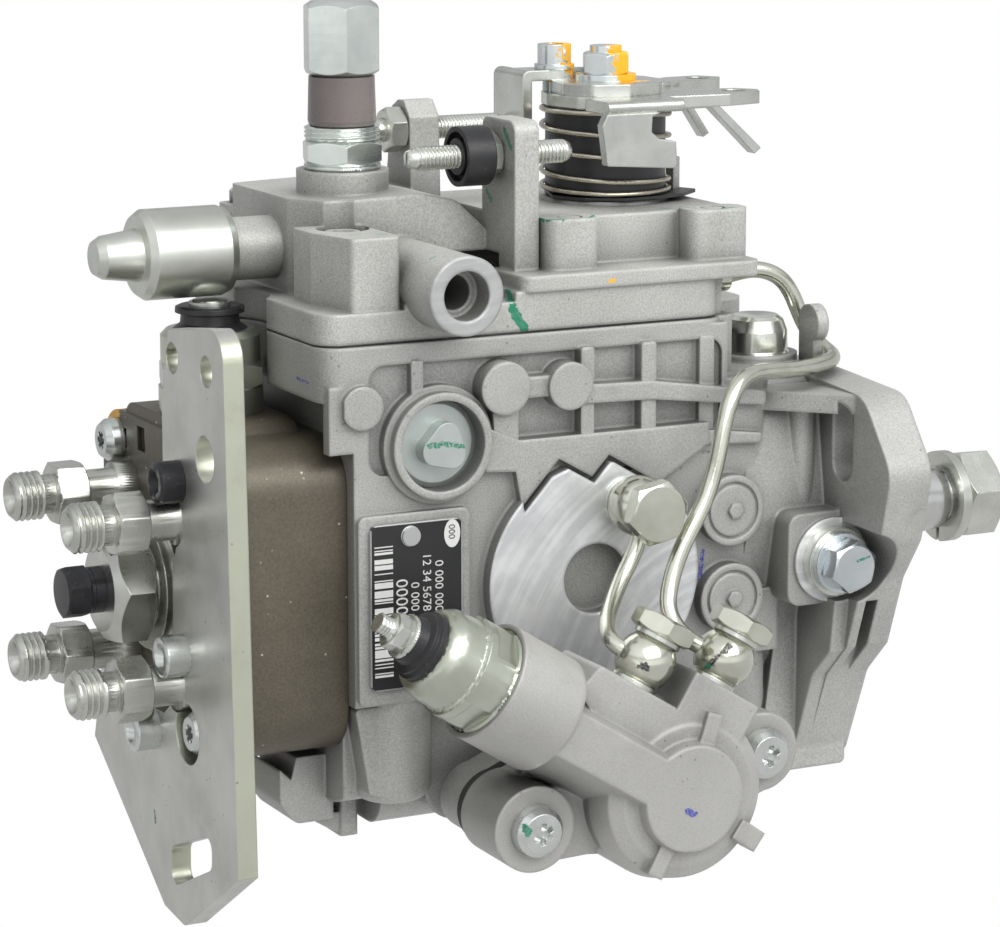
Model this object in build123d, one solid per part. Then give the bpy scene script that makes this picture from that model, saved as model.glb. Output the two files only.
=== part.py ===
from build123d import *
import os
from math import sin, cos, radians

os.makedirs("parts", exist_ok=True)

# All sizes are millimetres.
# X runs along the drive shaft and out of the mounting flange.
# Y runs away from the timing cover side, Z is up.
# The origin is on the shaft axis at the mounting flange face.

# Main sizes
shaft_r = 10.0
taper_small_r = 8.4
flange_t = 12.0
slot_circle_r = 60.0
slot_half_width = 4.6
slot_length = 21.0
pilot_r = 34.0
pilot_length = 7.0
body_half_y = 42.0
joint_z = 61.0
gasket_t = 0.5
cover_z = joint_z + gasket_t
ledge_z = 46.0
body_left_x = -140.0
body_right_x = -24.0
head_left_x = -172.0
head_half_y = 38.0
outlet_half_pitch = 20.0
outlet_end_x = -203.0
outlet_thread_r = 6.0
outlet_hex_af = 14.0
bracket_t = 5.0
nut_af = 22.0
governor_z = 38.0
lever_x = -51.0
lever_plate_z = 110.0
timing_x = -73.5
timing_z = -44.5
timing_tilt = 32.2
timing_face_y = -body_half_y - 12.0
pad_y = -body_half_y - 4.0
wall_inner_y = body_half_y - 8.0
spacer_t = 4.0
piston_r = 14.0
solenoid_y = timing_face_y - 21.0
solenoid_z = 0.7
plunger_r = 5.0

# Fits and clearances
run_fit = 0.05
free_gap = 0.5
seat = 0.0

parts = {}


# Helpers: plain solids placed by their limits
def box(x0, x1, y0, y1, z0, z1):
    return Pos((x0 + x1) / 2, (y0 + y1) / 2, (z0 + z1) / 2) * Box(x1 - x0, y1 - y0, z1 - z0)


def rod_x(r, x0, x1, y=0.0, z=0.0):
    return Pos((x0 + x1) / 2, y, z) * Rot(0, 90, 0) * Cylinder(r, abs(x1 - x0))


def rod_y(r, y0, y1, x=0.0, z=0.0):
    return Pos(x, (y0 + y1) / 2, z) * Rot(90, 0, 0) * Cylinder(r, abs(y1 - y0))


def rod_z(r, z0, z1, x=0.0, y=0.0):
    return Pos(x, y, (z0 + z1) / 2) * Cylinder(r, abs(z1 - z0))


def slab_x(points, x0, x1, radius=0.0):
    outline = Polygon(*points, align=None)
    if radius > 0:
        outline = fillet(outline.vertices(), radius)
    return extrude(Plane.YZ.offset(x0) * outline, x1 - x0, dir=(1, 0, 0))


def slab_y(points, y0, y1, radius=0.0):
    outline = Polygon(*points, align=None)
    if radius > 0:
        outline = fillet(outline.vertices(), radius)
    return extrude(Plane.XZ.offset(-y1) * outline, y1 - y0, dir=(0, -1, 0))


def slab_z(points, z0, z1, radius=0.0):
    outline = Polygon(*points, align=None)
    if radius > 0:
        outline = fillet(outline.vertices(), radius)
    return extrude(Plane.XY.offset(z0) * outline, z1 - z0, dir=(0, 0, 1))


def lathe(points):
    """Turn an outline of (along, radius) points about X."""
    return revolve(Polygon(*points, align=None), Axis.X)


def hex_x(af, x0, x1, turn=0.0, chamfer_depth=0.8):
    """Hexagon bar along X with its corners turned off at both ends."""
    corner = af / 2 / cos(radians(30))
    bar = Pos(x0, 0, 0) * Rot(0, 90, 0) * Rot(0, 0, turn) * extrude(
        RegularPolygon(radius=af / 2, side_count=6, major_radius=False), x1 - x0)
    skin = lathe([(x0, 0), (x0, corner - chamfer_depth * 1.6), (x0 + chamfer_depth, corner + 0.01),
                  (x1 - chamfer_depth, corner + 0.01), (x1, corner - chamfer_depth * 1.6), (x1, 0)])
    return bar & skin


def round_edges(shape, axis, group, radius):
    """Round the edges that run along one axis and lie at one end of the part."""
    picked = shape.edges().filter_by(axis)
    if group is not None:
        sort_axis, index = group
        picked = picked.group_by(sort_axis)[index]
    return fillet(picked, radius)


def round_at(shape, axis, places, radius):
    """Round the edges along one axis that pass near the given (u, v) places."""
    picked = []
    for edge in shape.edges().filter_by(axis):
        c = edge.center()
        u, v = (c.Y, c.Z) if axis == Axis.X else (c.X, c.Z) if axis == Axis.Y else (c.X, c.Y)
        if any(abs(u - a) + abs(v - b) < 1.0 for a, b in places):
            picked.append(edge)
    return fillet(picked, radius)


# Placing helpers: a part turned along X is set along Z or Y
to_z = Rot(0, -90, 0)
to_minus_y = Rot(0, 0, -90)


# Pump housing: main box, joint rim, timing bore and mounting flange
slot_a = radians(150)
slot_y = slot_circle_r * cos(slot_a)
slot_z = slot_circle_r * sin(slot_a)
near_flange = [(-28, 44), (-61, 42), (-74, 25), (-69.5, 7), (-62, -4), (-55.5, -22), (-46.5, -31), (-37, -54),
               (-30, -58)]
far_flange = [(-y, z) for y, z in reversed(near_flange)]
flange = slab_x(near_flange + far_flange, -flange_t, 0)
flange = round_at(flange, Axis.X, [(-61, 42), (-74, 25), (61, 42), (74, 25)], 9.0)
flange = round_at(flange, Axis.X, [(-69.5, 7), (-62, -4), (-46.5, -31), (69.5, 7), (62, -4), (46.5, -31)], 5.0)
flange = round_at(flange, Axis.X, [(-37, -54), (37, -54)], 3.0)

block = box(body_left_x, body_right_x, -body_half_y, body_half_y, -52, joint_z - 1)
block = round_edges(block, Axis.X, (Axis.Z, 0), 16.0)
block = round_edges(block, Axis.Z, (Axis.X, -1), 9.0)
rim = box(-147.5, -39.5, -body_half_y, body_half_y, 48, joint_z)
rim = round_edges(rim, Axis.Z, None, 6.0)
corner_lug = box(-146.2, -139, -body_half_y, -body_half_y + 3.4, 36, 52)
far_corner_lug = box(-146.2, -139, body_half_y - 3.4, body_half_y, 36, 52)
neck = slab_x([(-40, 36), (-44, 10), (-36, -26), (-26, -50), (26, -50), (36, -26), (44, 10), (40, 36), (30, 46),
               (-30, 46)], -34, -flange_t + 1, 6.0)
keel = box(-128, -44, -30, 30, -60, -48)
keel = round_edges(keel, Axis.X, (Axis.Z, 0), 8.0)
gallery = rod_y(20.5, timing_face_y, -timing_face_y, timing_x, timing_z - 2)

frame_t = Pos(timing_x, 0, timing_z) * Rot(0, timing_tilt, 0)
lug_near = (-27.9, -24.0)
lug_far = (25.1, 18.3)


def timing_outline(y0, y1, r_main, r_lug):
    """Oval outline of the timing covers, drawn in the tilted frame."""
    shape = rod_y(r_main, y0, y1)
    for lug in (lug_near, lug_far):
        length = (lug[0] ** 2 + lug[1] ** 2) ** 0.5
        side = (-lug[1] / length, lug[0] / length)
        web = [(side[0] * r_main * 0.86, side[1] * r_main * 0.86),
               (lug[0] + side[0] * r_lug, lug[1] + side[1] * r_lug),
               (lug[0] - side[0] * r_lug, lug[1] - side[1] * r_lug),
               (-side[0] * r_main * 0.86, -side[1] * r_main * 0.86)]
        shape = shape + rod_y(r_lug, y0, y1, lug[0], lug[1]) + slab_y(web, y0, y1)
    return shape


near_pad = frame_t * timing_outline(timing_face_y, -wall_inner_y, 21.0, 8.5)
far_pad = frame_t * timing_outline(wall_inner_y, -timing_face_y, 21.0, 8.5)

housing = block + rim + corner_lug + far_corner_lug + neck + keel + gallery + near_pad + far_pad + flange
housing -= box(-39.5, 5, -50, 50, ledge_z, 70)
pillar = box(-34, -8, 2, 30, ledge_z - 1, 58)
pillar = round_edges(pillar, Axis.Z, None, 5.0)
housing += pillar

# Side walls: sunk field under the joint rim, bosses, ribs and pads of the casting
sunk = 1.8
field = box(-136, -41, -body_half_y - 1, -body_half_y + sunk, 30, 56.3)
field = round_edges(field, Axis.Y, None, 4.0)
housing -= field
far_field = box(-136, -41, body_half_y - sunk, body_half_y + 1, 24, 56.3)
housing -= round_edges(far_field, Axis.Y, None, 4.0)
lower_recess = box(-141, -98, -body_half_y - 1, -body_half_y + 7.5, -60, -25.5)
housing -= lower_recess
column = rod_z(9.8, -50.8, -24, -127, -body_half_y + 8.5)
housing += fillet(column.edges().group_by(Axis.Z)[0], 4.0)
housing += slab_y([(-139.6, -26), (-127, -26), (-127, -50), (-136, -47.5)], -body_half_y + 1, -body_half_y + 12, 1.0)
face_x = -78.0
face_z = 0.6
zigzag = [(-106.9, 40), (-106.9, 29.1), (-98.8, 28.5), (-97.2, 19.8), (-87.3, 30.6), (-78.3, 25.4), (-73.7, 30.4),
          (-60, 22.2), (-46, 30.7), (-46, 36), (-83, 36), (-98, 36)]
face_pad = rod_y(28.5, pad_y, -40, face_x, face_z) - slab_y([(x, z - 1.3) for x, z in zigzag], -60, -body_half_y)
face_pad -= rod_y(8.6, -60, -body_half_y - 0.5, face_x, face_z)
housing += face_pad
housing += slab_y(zigzag, pad_y + 1.4, -38)
for z in (13.6, -8.6):
    housing += rod_y(8.8, pad_y + 0.2, -40, -39.5, z)
    housing -= rod_y(7.2, -60, pad_y + 0.8, -39.5, z) - rod_y(6.4, -60, -40, -39.5, z)
    housing += Pos(-39.0, pad_y + 0.2, z) * Rot(90, 0, 0) * extrude(RegularPolygon(radius=2.2, side_count=6), 1.0)
plug_x = -118.6
plug_z = 36.6
housing += rod_y(12.8, pad_y, -40, plug_x, plug_z) + rod_y(14.2, -body_half_y - 1.2, -38, plug_x, plug_z)
housing += rod_y(6.4, pad_y + 0.2, -38, -102, 49)
housing += rod_y(5.8, pad_y + 0.2, -38, -84.6, 48.2)
housing += slab_y([(-99, 46), (-87, 46), (-87, 51), (-99, 51)], pad_y + 1.6, -38)
housing += slab_y([(-105, 46), (-98, 44), (-98, 34), (-104, 34)], pad_y + 1.8, -38)
housing += rod_y(5.2, -body_half_y - 1.6, -38, -138.2, 46.8) & box(-143, -130, -60, -body_half_y + 3.3, 40, 54)
label_pad = box(-139.6, -110.5, -body_half_y - 1.4, -38, -25, 21)
housing += round_edges(label_pad, Axis.Y, None, 2.0)
rib_y = -body_half_y - 2.0
housing += slab_y([(-82, 43.5), (-62, 43), (-30, 39), (-30, 42.5), (-62, 47.5), (-82, 48)], rib_y - 0.6, -38, 0.8)
housing += slab_y([(-64.5, 30), (-60.5, 30), (-60.5, 57), (-64.5, 57)], rib_y, -38, 0.8)
housing += slab_y([(-61, 31.5), (-30.5, 29.5), (-30.5, 32), (-61, 36)], rib_y, -38, 0.8)
housing += slab_y([(-81, 34), (-77.5, 34), (-77.5, 57), (-81, 57)], rib_y, -38, 0.8)
housing += slab_y([(-125.5, 48), (-122.5, 48), (-122.5, 57), (-125.5, 57)], rib_y + 1.0, -38, 0.8)
housing += slab_y([(-47.5, 29), (-43.5, 28), (-43.5, 57), (-47.5, 57)], rib_y + 1.6, -38, 0.8)
rib = rod_z(3.6, -12, 40, -17, -40) + box(-20.6, -13.4, -40, -30, -12, 40)
housing += rib
for x in (-112, -74, -52):
    housing += box(x - 1.8, x + 1.8, 38, body_half_y + 1.5, 24, 57)
housing += box(-134, -42, 38, body_half_y + 1.5, 38, 41.5)

# Flange gussets and the boss of the shaft lock bolt
lock_x = -14.5
housing += slab_z([(-34, -36), (-1, -36), (-1, -58), (-11, -58)], 37, 42)
housing += slab_z([(-34, 36), (-1, 36), (-1, 58), (-11, 58)], 37, 42)
housing += slab_z([(-30, 34), (-1, 34), (-1, 52), (-12, 50)], -24, -18)
lock_seat_y = -body_half_y - 10.0
lock_block = box(-26.5, -1, lock_seat_y + 1.2, -30, -11.2, 12)
lock_block = round_edges(lock_block, Axis.Y, (Axis.X, 0), 3.5)
housing += lock_block + box(-38, -24, -body_half_y, -30, -24, -8)
leg = slab_y([(-20, -9), (-1, -9), (-1, -57.5), (-27, -57.5), (-22, -20)], -body_half_y + 4, -20, 1.5)
housing += leg
housing += slab_x([(-56, -9), (-54, -23), (-46, -31), (-38, -52), (-34, -52), (-34, -9)], -16, -1)
housing -= slab_x([(-60, -9.5), (-60, -34), (-45.5, -34), (-50, -24), (-53, -9.5)], -9.5, -6.0)
housing += rod_y(10.6, lock_seat_y, -30, lock_x, 0)
housing -= rod_y(9.8, -80, lock_seat_y, lock_x, 0)

# Casting lug and stub under the head
hook = slab_y([(-152, -43.5), (-149, -46.5), (-147.6, -41), (-138, -41), (-138, -57.5), (-148, -57.5), (-152, -52)],
              -24, -4)
hook = round_at(hook, Axis.Y, [(-148, -57.5), (-152, -52)], 3.0)
housing += hook
housing += slab_y([(-144, -57), (-130.4, -57), (-130.4, -63), (-134.6, -63)], -21, -13)
housing += round_edges(box(-135.2, -130.4, -22, -12, -63, -50), Axis.Z, None, 1.0)

# Inside of the housing
cavity = box(-133, -34, -34, 34, -28, 70)
cavity = round_edges(cavity, Axis.X, (Axis.Z, 0), 8.0)
housing -= cavity & box(-150, -10, -40, 40, -60, joint_z + 1)
head_spigot_r = 31.0
housing -= rod_x(head_spigot_r, -150, -133)
housing -= rod_x(13.0, -40, 1)
housing -= rod_y(piston_r, -60, 60, timing_x, timing_z - 2)
housing -= box(timing_x - 6.5, timing_x + 6.5, -9, 9, -36, -20)
for y in (-slot_y, slot_y):
    slot = rod_x(slot_half_width, -15, 5, y, slot_z - slot_length / 2 + slot_half_width)
    slot += rod_x(slot_half_width, -15, 5, y, slot_z + slot_length / 2 - slot_half_width)
    slot += box(-15, 5, y - slot_half_width, y + slot_half_width, slot_z - slot_length / 2 + slot_half_width,
                slot_z + slot_length / 2 - slot_half_width)
    housing -= slot
lower_hole_y = 42.0
housing -= rod_x(4.6, -30, 5, lower_hole_y - 2, -36)
housing += rod_x(pilot_r, -1, pilot_length) - rod_x(15.0, -2, pilot_length + 1)

# Screw bosses and screw holes in the housing
head_screw_y = 27.5
head_screw_z = 30.5
head_screw_places = ((head_screw_y, head_screw_z), (-head_screw_y, -head_screw_z), (head_screw_y, -head_screw_z))
plate_screw_top = (-24.6, 29.8)
cover_screw_places = ((-132.9, -21), (-133, 36), (-78.5, -33), (-39, -33), (-39.5, 36), (-90, 36))
for y, z in head_screw_places + (plate_screw_top,):
    housing -= rod_x(3.0, -141, -128, y, z)
timing_screw_r = 3.0
for u, n in (lug_near, lug_far):
    housing -= frame_t * rod_y(timing_screw_r, -80, timing_face_y + 12, u, n)
    housing -= frame_t * rod_y(timing_screw_r, -timing_face_y - 12, 80, u, n)
plug_seat_y = -body_half_y + 1.6
housing -= rod_y(8.0, -60, -30, plug_x, plug_z)
housing -= rod_y(10.9, -60, plug_seat_y, plug_x, plug_z)
feed_banjo_x = -70.0
feed_banjo_z = 19.0
housing -= rod_y(4.0, -60, -38, feed_banjo_x, feed_banjo_z)
housing -= rod_y(4.0, -60, -38, lock_x, 0)
cap_x = -17.5
cap_y = -18.5
cap_seat_z = 47.6
regulator_r = 7.0
housing -= rod_z(5.0, 30, 50, cap_x, cap_y)
housing += rod_z(10.6, 42, cap_seat_z, cap_x, cap_y) - rod_z(5.0, 30, 50, cap_x, cap_y)
housing += rod_x(4.8, -9, -5.9, -30, 55.7) + box(-9, -6.6, -32.6, -25.6, 40, 55.7)
housing -= rod_y(6.0, 14, 34, -21, 51.5)
parts["pump_housing"] = housing

# Seal around the drive shaft
pump_x0 = -46.0
pump_x1 = -34.0
parts["shaft_seal"] = rod_x(13.0, -7.0, 0.0) - rod_x(shaft_r + 0.3, -10, 1)

# Drive shaft with taper, thread and keyway
shaft = lathe([(-60, 0), (-60, 9.4), (-33, 9.4), (-33, shaft_r), (34, shaft_r), (50, taper_small_r), (50, 7.0),
               (66, 7.0), (67, 6.0), (67, 0)])
shaft -= box(37, 49, -2.5, 2.5, 6.8, 12)
shaft += rod_x(12.0, -74, -60) - box(-75, -66, -3.5, 3.5, -13, 13)
gear_r = 22.6
drive_gear = rod_x(gear_r, -57, -51) - rod_x(9.0, -60, -40)
for k in range(6):
    drive_gear -= Rot(60 * k, 0, 0) * rod_x(2.6, -60, -40, 0, 14.5)
parts["drive_shaft"] = shaft + drive_gear
rotor = rod_x(18.6, pump_x0 + 0.9, pump_x1 - 0.6) - rod_x(9.4, -60, -30)
for k in range(4):
    rotor -= Rot(45 + 90 * k, 0, 0) * box(-50, -30, -0.9, 0.9, 12.5, 20)
for k in range(4):
    rotor += Rot(45 + 90 * k, 0, 0) * box(pump_x0 + 1.0, pump_x1 - 0.7, -0.85, 0.85, 13.2, 19.4)
parts["feed_pump_rotor"] = rotor
washer_x = 51.5
spring_washer = rod_x(12.2, washer_x, washer_x + 2.8) - rod_x(7.4, 50, 56)
spring_washer -= box(50, 56, -0.7, 0.7, -14, 0)
parts["shaft_spring_washer"] = spring_washer
parts["shaft_nut"] = hex_x(nut_af, washer_x + 2.8, washer_x + 13.8, 18, 1.4) - rod_x(7.0, 50, 70)

# Roller ring and timing piston
ring_x0 = timing_x - 5.0
ring_x1 = timing_x + 5.0
roller_ring = rod_x(20.0, ring_x0, ring_x1) - rod_x(13.5, -90, -60)
for k in range(4):
    roller_ring += Rot(45 + 90 * k, 0, 0) * rod_z(3.2, 14.5, 19.0, ring_x0 - 0.4, 0)
roller_ring += rod_z(2.6, -38.5, -18.0, timing_x, 0)
parts["roller_ring"] = roller_ring
piston = rod_y(piston_r - run_fit, -24, 24, timing_x, timing_z - 2)
piston -= rod_z(3.1, -50, -28, timing_x, 0)
piston -= rod_y(9.0, 10, 30, timing_x, timing_z - 2)
parts["timing_piston"] = piston

# Cam plate, plunger and the distributor barrel
cam_x = ring_x0 - 4.6
cam = rod_x(21.0, cam_x - 6, cam_x)
for k in range(4):
    cam += Rot(90 * k, 0, 0) * box(cam_x - 1, cam_x + 0.7, -4, 4, 14.5, 19.5)
cam += rod_x(8.0, cam_x - 11, cam_x - 5)
claw = rod_x(11.5, cam_x - 1, -76.6) & box(-90, -70, -3.2, 3.2, -12, 12)
cross = rod_x(11.5, -76.3, -74.4) + box(-74.5, -67.2, -2.9, 2.9, -9, 9)
plunger = rod_x(plunger_r, -164, cam_x - 11) - rod_x(1.2, -165, -116) - rod_z(1.2, -8, 8, -118, 0)
parts["cam_plate_and_plunger"] = [cam + claw, plunger, cross]
spool = rod_x(10.5, -122.5, -113.5) - rod_x(plunger_r + run_fit, -130, -110)
spool -= rod_z(2.3, 8.4, 12, -118, 0)
parts["control_spool"] = spool

# Distributor head
head = slab_x([(-head_half_y, -38), (head_half_y, -38), (head_half_y, 38), (-head_half_y, 38)], head_left_x,
              body_left_x, 12.0)
top_boss = box(-171.5, -144.5, -21, 24, 30, 41)
top_boss = round_edges(top_boss, Axis.X, (Axis.Z, -1), 6.0)
head += top_boss
head += rod_x(head_spigot_r - 0.05, body_left_x - 0.5, -133.5)
for z in (26.0, 31.5):
    head -= Pos(head_left_x, 20 + (z - 26) * 0.6, z) * Box(3.0, 3.2, 5.0) if z > 30 else \
        Pos(head_left_x, 12, 33) * Box(3.0, 5.0, 6.0)
head -= rod_x(plunger_r + run_fit, -170, -130)
head -= rod_x(8.6, -175, -168)
for y in (-outlet_half_pitch, outlet_half_pitch):
    for z in (-outlet_half_pitch, outlet_half_pitch):
        head -= rod_x(5.2, -175, -160, y, z)
for y, z in head_screw_places:
    head -= rod_x(3.2, -175, -130, y, z)
head -= rod_x(3.2, -175, -130, plate_screw_top[0], plate_screw_top[1])
stop_x = -158.0
stop_y = 1.0
head -= rod_z(5.0, 14, 50, stop_x, stop_y)
parts["distributor_head"] = head

# Delivery valve holders and valves
outlet_turns = {(20.0, 20.0): 30, (-20.0, 20.0): 12, (20.0, -20.0): 25, (-20.0, -20.0): 0}
holder_body = lathe([(outlet_end_x, 4.1), (outlet_end_x, 4.7), (outlet_end_x + 1.4, 5.95),
                     (outlet_end_x + 7.2, 5.95), (outlet_end_x + 7.2, 4.8), (-192.6, 4.8), (-192.6, 6.0),
                     (-192.0, 6.0), (-192.0, 5.0), (-184.6, 5.0), (-176.8, 5.0), (-176.8, 6.3), (-172, 6.3),
                     (-172, 5.15), (-161, 5.15), (-161, 3.2), (-175, 3.2), (-175, 1.2), (outlet_end_x + 6.5, 1.2)])
holders = None
valves = None
for (y, z), turn in outlet_turns.items():
    collar = hex_x(outlet_hex_af, -192.6, -184.6, turn, 0.9) - rod_x(4.9, -194, -184)
    one = Pos(0, y, z) * (holder_body + collar)
    holders = one if holders is None else holders + one
    valve = Pos(0, y, z) * (rod_x(2.6, -170.5, -166) + rod_x(1.6, -166.2, -162.5))
    valves = valve if valves is None else valves + valve
parts["delivery_valve_holders"] = holders
parts["delivery_valves"] = valves

# Centre plug and its vent screw
centre_plug = hex_x(25.0, -188, -176.6, 25, 2.6) + rod_x(15.6, -176.8, -174.4) + rod_x(8.5, -175, -170.4)
centre_plug -= rod_x(3.2, -190, -172)
parts["head_centre_plug"] = centre_plug
seal_washers = rod_x(17.2, -174.4, -172) - rod_x(8.7, -176, -170)
vent = hex_x(11.5, -197.6, -191.6, 10, 0.7) + rod_x(5.3, -191.8, -190.6) + rod_x(5.6, -190.6, -188)
parts["head_vent_screw"] = vent + rod_x(3.1, -188.2, -176)

# Rear bracket plate
bracket_x0 = head_left_x - bracket_t
bracket_points = [(-19.7, 65), (-52.5, 69.5), (-57.2, -58), (-24, -79), (-10.8, -77.5), (35.2, -46.4), (33, -39.5),
                  (8, -30), (-12.6, -29), (-25, -20.5), (-19.6, -7), (-19.8, 9), (-22.5, 13.6), (-15, 22),
                  (-14.9, 46)]
bracket = slab_x(bracket_points, bracket_x0, head_left_x)
bracket = fillet(bracket.edges().filter_by(Axis.X).group_by(Axis.Z)[-1], 7.0)
bracket = fillet(bracket.edges().filter_by(Axis.X).group_by(Axis.Z)[0], 5.0)
bracket -= rod_x(7.4, -180, -170, -27.5, -30.5)
bracket -= rod_x(6.9, -180, -170, -outlet_half_pitch, -outlet_half_pitch)
bracket -= rod_x(6.9, -180, -170, -outlet_half_pitch, outlet_half_pitch)
bracket -= rod_x(6.9, -180, -170, outlet_half_pitch, -outlet_half_pitch)
for y, z, r in ((-21.9, 58.5, 3.7), (-42.7, 58.4, 3.7), (-41.2, 37.8, 5.5)):
    bracket -= rod_x(r, -180, -170, y, z)
plate_slot = slab_x([(-15.8, -61.2), (-41.6, -51.4), (-41.4, -60.0), (-15.6, -71.6)], -180, -170, 3.0)
bracket -= plate_slot
plate_screw_side = (-25.8, -11.6)
plate_screw_low = (-5.8, -34.4)
head_drill = None
for y, z in (plate_screw_top, plate_screw_side, plate_screw_low):
    bracket -= rod_x(3.2, -180, -170, y, z)
parts["rear_bracket"] = bracket
head = parts["distributor_head"]
for y, z in (plate_screw_side, plate_screw_low):
    head -= rod_x(3.0, -173, -158, y, z)
parts["distributor_head"] = head


def socket_screw(head_r, head_h, shank_r, length):
    """Cap screw along X: head towards minus X, seat at zero."""
    body = lathe([(-head_h, 0), (-head_h, head_r - 0.5), (-head_h + 0.5, head_r), (0, head_r), (0, shank_r),
                  (length, shank_r), (length, 0)])
    socket = Pos(-head_h - 0.1, 0, 0) * Rot(0, 90, 0) * extrude(
        RegularPolygon(radius=head_r * 0.5, side_count=6, major_radius=False), head_h * 0.6)
    return body - socket


def pan_screw(head_r, head_h, shank_r, length):
    """Pan head screw along X with a round drive recess."""
    body = lathe([(-head_h, 0), (-head_h, head_r - 1.4), (-head_h + 1.6, head_r - 0.2), (-1.2, head_r),
                  (0, head_r), (0, shank_r), (length, shank_r), (length, 0)])
    recess = None
    for k in range(3):
        bar = Rot(60 * k, 0, 0) * box(-head_h - 0.1, -head_h + 2.2, -head_r * 0.42, head_r * 0.42, -0.7, 0.7)
        recess = bar if recess is None else recess + bar
    return body - recess


bracket_screws = Pos(bracket_x0, *plate_screw_top) * socket_screw(5.0, 6.0, 3.0, 40)
bracket_screws += Pos(bracket_x0, *plate_screw_side) * socket_screw(5.0, 6.0, 3.0, 17)
bracket_screws += Pos(bracket_x0, *plate_screw_low) * socket_screw(5.0, 6.0, 3.0, 17)
parts["bracket_screws"] = bracket_screws
head_screws = None
for y, z in head_screw_places:
    one = Pos(head_left_x, y, z) * pan_screw(5.4, 4.6, 3.0, 42)
    head_screws = one if head_screws is None else head_screws + one
parts["head_screws"] = head_screws

# Stop solenoid standing on the head
stop_seat_z = 41.0
can = lathe([(0, 0), (0, 12.6), (6.2, 12.6), (6.2, 11.4), (12, 11.4), (12, 12.0), (18.6, 12.0), (20.0, 10.6),
             (20.0, 0)])
can += rod_x(5.0, -10, 0)
can = can + hex_x(23.8, 6.2, 12.0, 12, 1.0) - rod_x(3.6, -11, 8)
place_stop = Pos(stop_x, stop_y, stop_seat_z) * to_z
parts["stop_solenoid"] = place_stop * can
parts["stop_solenoid_plunger"] = place_stop * (rod_x(3.0, -13.5, 4.0) - rod_x(1.4, -14, -6))
stop_insulator = place_stop * lathe([(20.0, 0), (20.0, 9.0), (21.4, 7.2), (23.6, 7.0), (24.0, 8.4), (25.2, 8.3),
                                     (25.6, 7.4), (25.6, 0)])
stop_terminal = place_stop * lathe([(25.6, 0), (25.6, 5.0), (26.5, 5.0), (26.5, 4.2), (26.8, 4.2), (26.8, 0)])
relief = rod_z(14.5, 44, 90, stop_x, stop_y)
parts["pump_housing"] -= relief

# Governor cover casting
base = box(-147.5, -39.8, -body_half_y + 1.2, body_half_y - 1.2, cover_z, 71)
base = round_edges(base, Axis.Z, None, 6.0)
base -= box(-150, -97, -50, 50, 68.7, 72)
shelf = box(-95.5, -30, -body_half_y, body_half_y, 70.8, 74.6)
shelf = round_edges(shelf, Axis.Z, None, 3.0)
right_body = box(-88, -31, -29, 31, 71, 86.3)
right_body = round_edges(right_body, Axis.Z, None, 3.0)
pad_left = round_edges(box(-86, -72, -37.5, -28, 70, 87.0), Axis.Z, None, 3.5)
pad_right = round_edges(box(-47, -30.5, -37.5, -28, 70, 87.0), Axis.Z, None, 3.5)
far_pads = round_edges(box(-47, -30.5, 28, 38.5, 70, 87.0), Axis.Z, None, 3.5)
left_body = slab_y([(-143, 68), (-143, 91.5), (-110, 92.5), (-101, 90.5), (-93, 83), (-90, 68)], -18, 32)
left_body = left_body & slab_z([(-139.8, 31), (-139.8, -4), (-134, -17), (-88, -17), (-88, 31)], 60, 95, 2.0)
left_body = round_at(left_body, Axis.Y, [(-110, 92.5), (-101, 90.5), (-93, 83)], 5.0)
screw_block = slab_z([(-139, -40), (-126.5, -40), (-126.5, -14), (-143, -14), (-143, -25)], 66, 86, 1.5)
far_block = round_edges(box(-140, -126, 26, 40, 66, 86), Axis.Z, None, 3.0)
cover = base + shelf + right_body + pad_left + pad_right + far_pads + left_body + screw_block + far_block
cover += box(-97, -86, -16, 29, 61.6, 80)
screw_seat_z = 82.0
cover -= rod_z(6.4, screw_seat_z, 95, cover_screw_places[0][0], cover_screw_places[0][1])
cover += rod_z(11.2, 85, 97.6, -123.3, 0)
cover += rod_x(7.6, -152.8, -132, 5, 79)
port_x = -116.9
port_y = -55.0
port_z = 73.3
cover += rod_y(9.4, port_y, -14, port_x, port_z)
cover += box(-126, -108, -40.8, -30, 61.6, 70)
lug_front = slab_y([(-93, 72), (-86.6, 72), (-86.6, 110.4), (-93, 110.4)], -32.5, -15.0)
lug_front = round_edges(lug_front, Axis.X, (Axis.Z, -1), 3.0)
lug_front += slab_x([(-32.5, 72), (-14, 72), (-14, 88), (-18, 100), (-32.5, 100)], -91, -88.6)
lug_rear = slab_x([(9, 84), (25, 84), (21.5, 104), (20, 110), (16.5, 111.8), (13.5, 111.8), (10, 108)], -100.5, -92.5)
cover += lug_front + lug_rear
cover += rod_z(15.5, 84, 87.2, lever_x, 0)
cast_post = box(-33.0, -31.2, -3, 1, 86, 96)
cover += cast_post
inside = box(-136, -42, -24, 24, 60, 78)
inside = round_edges(inside, Axis.Z, None, 4.0)
inside -= box(-140, -126.5, -26, -14.5, 59, 79)
cover -= inside
lever_shaft_r = 5.0
cover -= rod_z(lever_shaft_r + run_fit, 70, 90, lever_x, 0)
cover -= rod_y(5.9, -60, -48, port_x, port_z)
cover -= rod_y(4.2, -50, -20, port_x, port_z)
post_bore_r = 6.0
cover -= rod_z(post_bore_r, 76, 99, -123.3, 0)
cover -= rod_x(4.0, -154, -135, 5, 79)
idle_y = 15.0
idle_z = 104.6
speed_y = -22.0
speed_z = 101.6
cover -= rod_x(3.0, -103, -90, idle_y, idle_z)
cover -= rod_x(3.0, -95, -84, speed_y, speed_z)
for x, y in cover_screw_places:
    cover -= rod_z(3.1, 60, 90, x, y)
fitting_y = -18.0
fitting_z = 67.4
cover -= rod_x(3.4, -48, -38, fitting_y, fitting_z)
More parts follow.
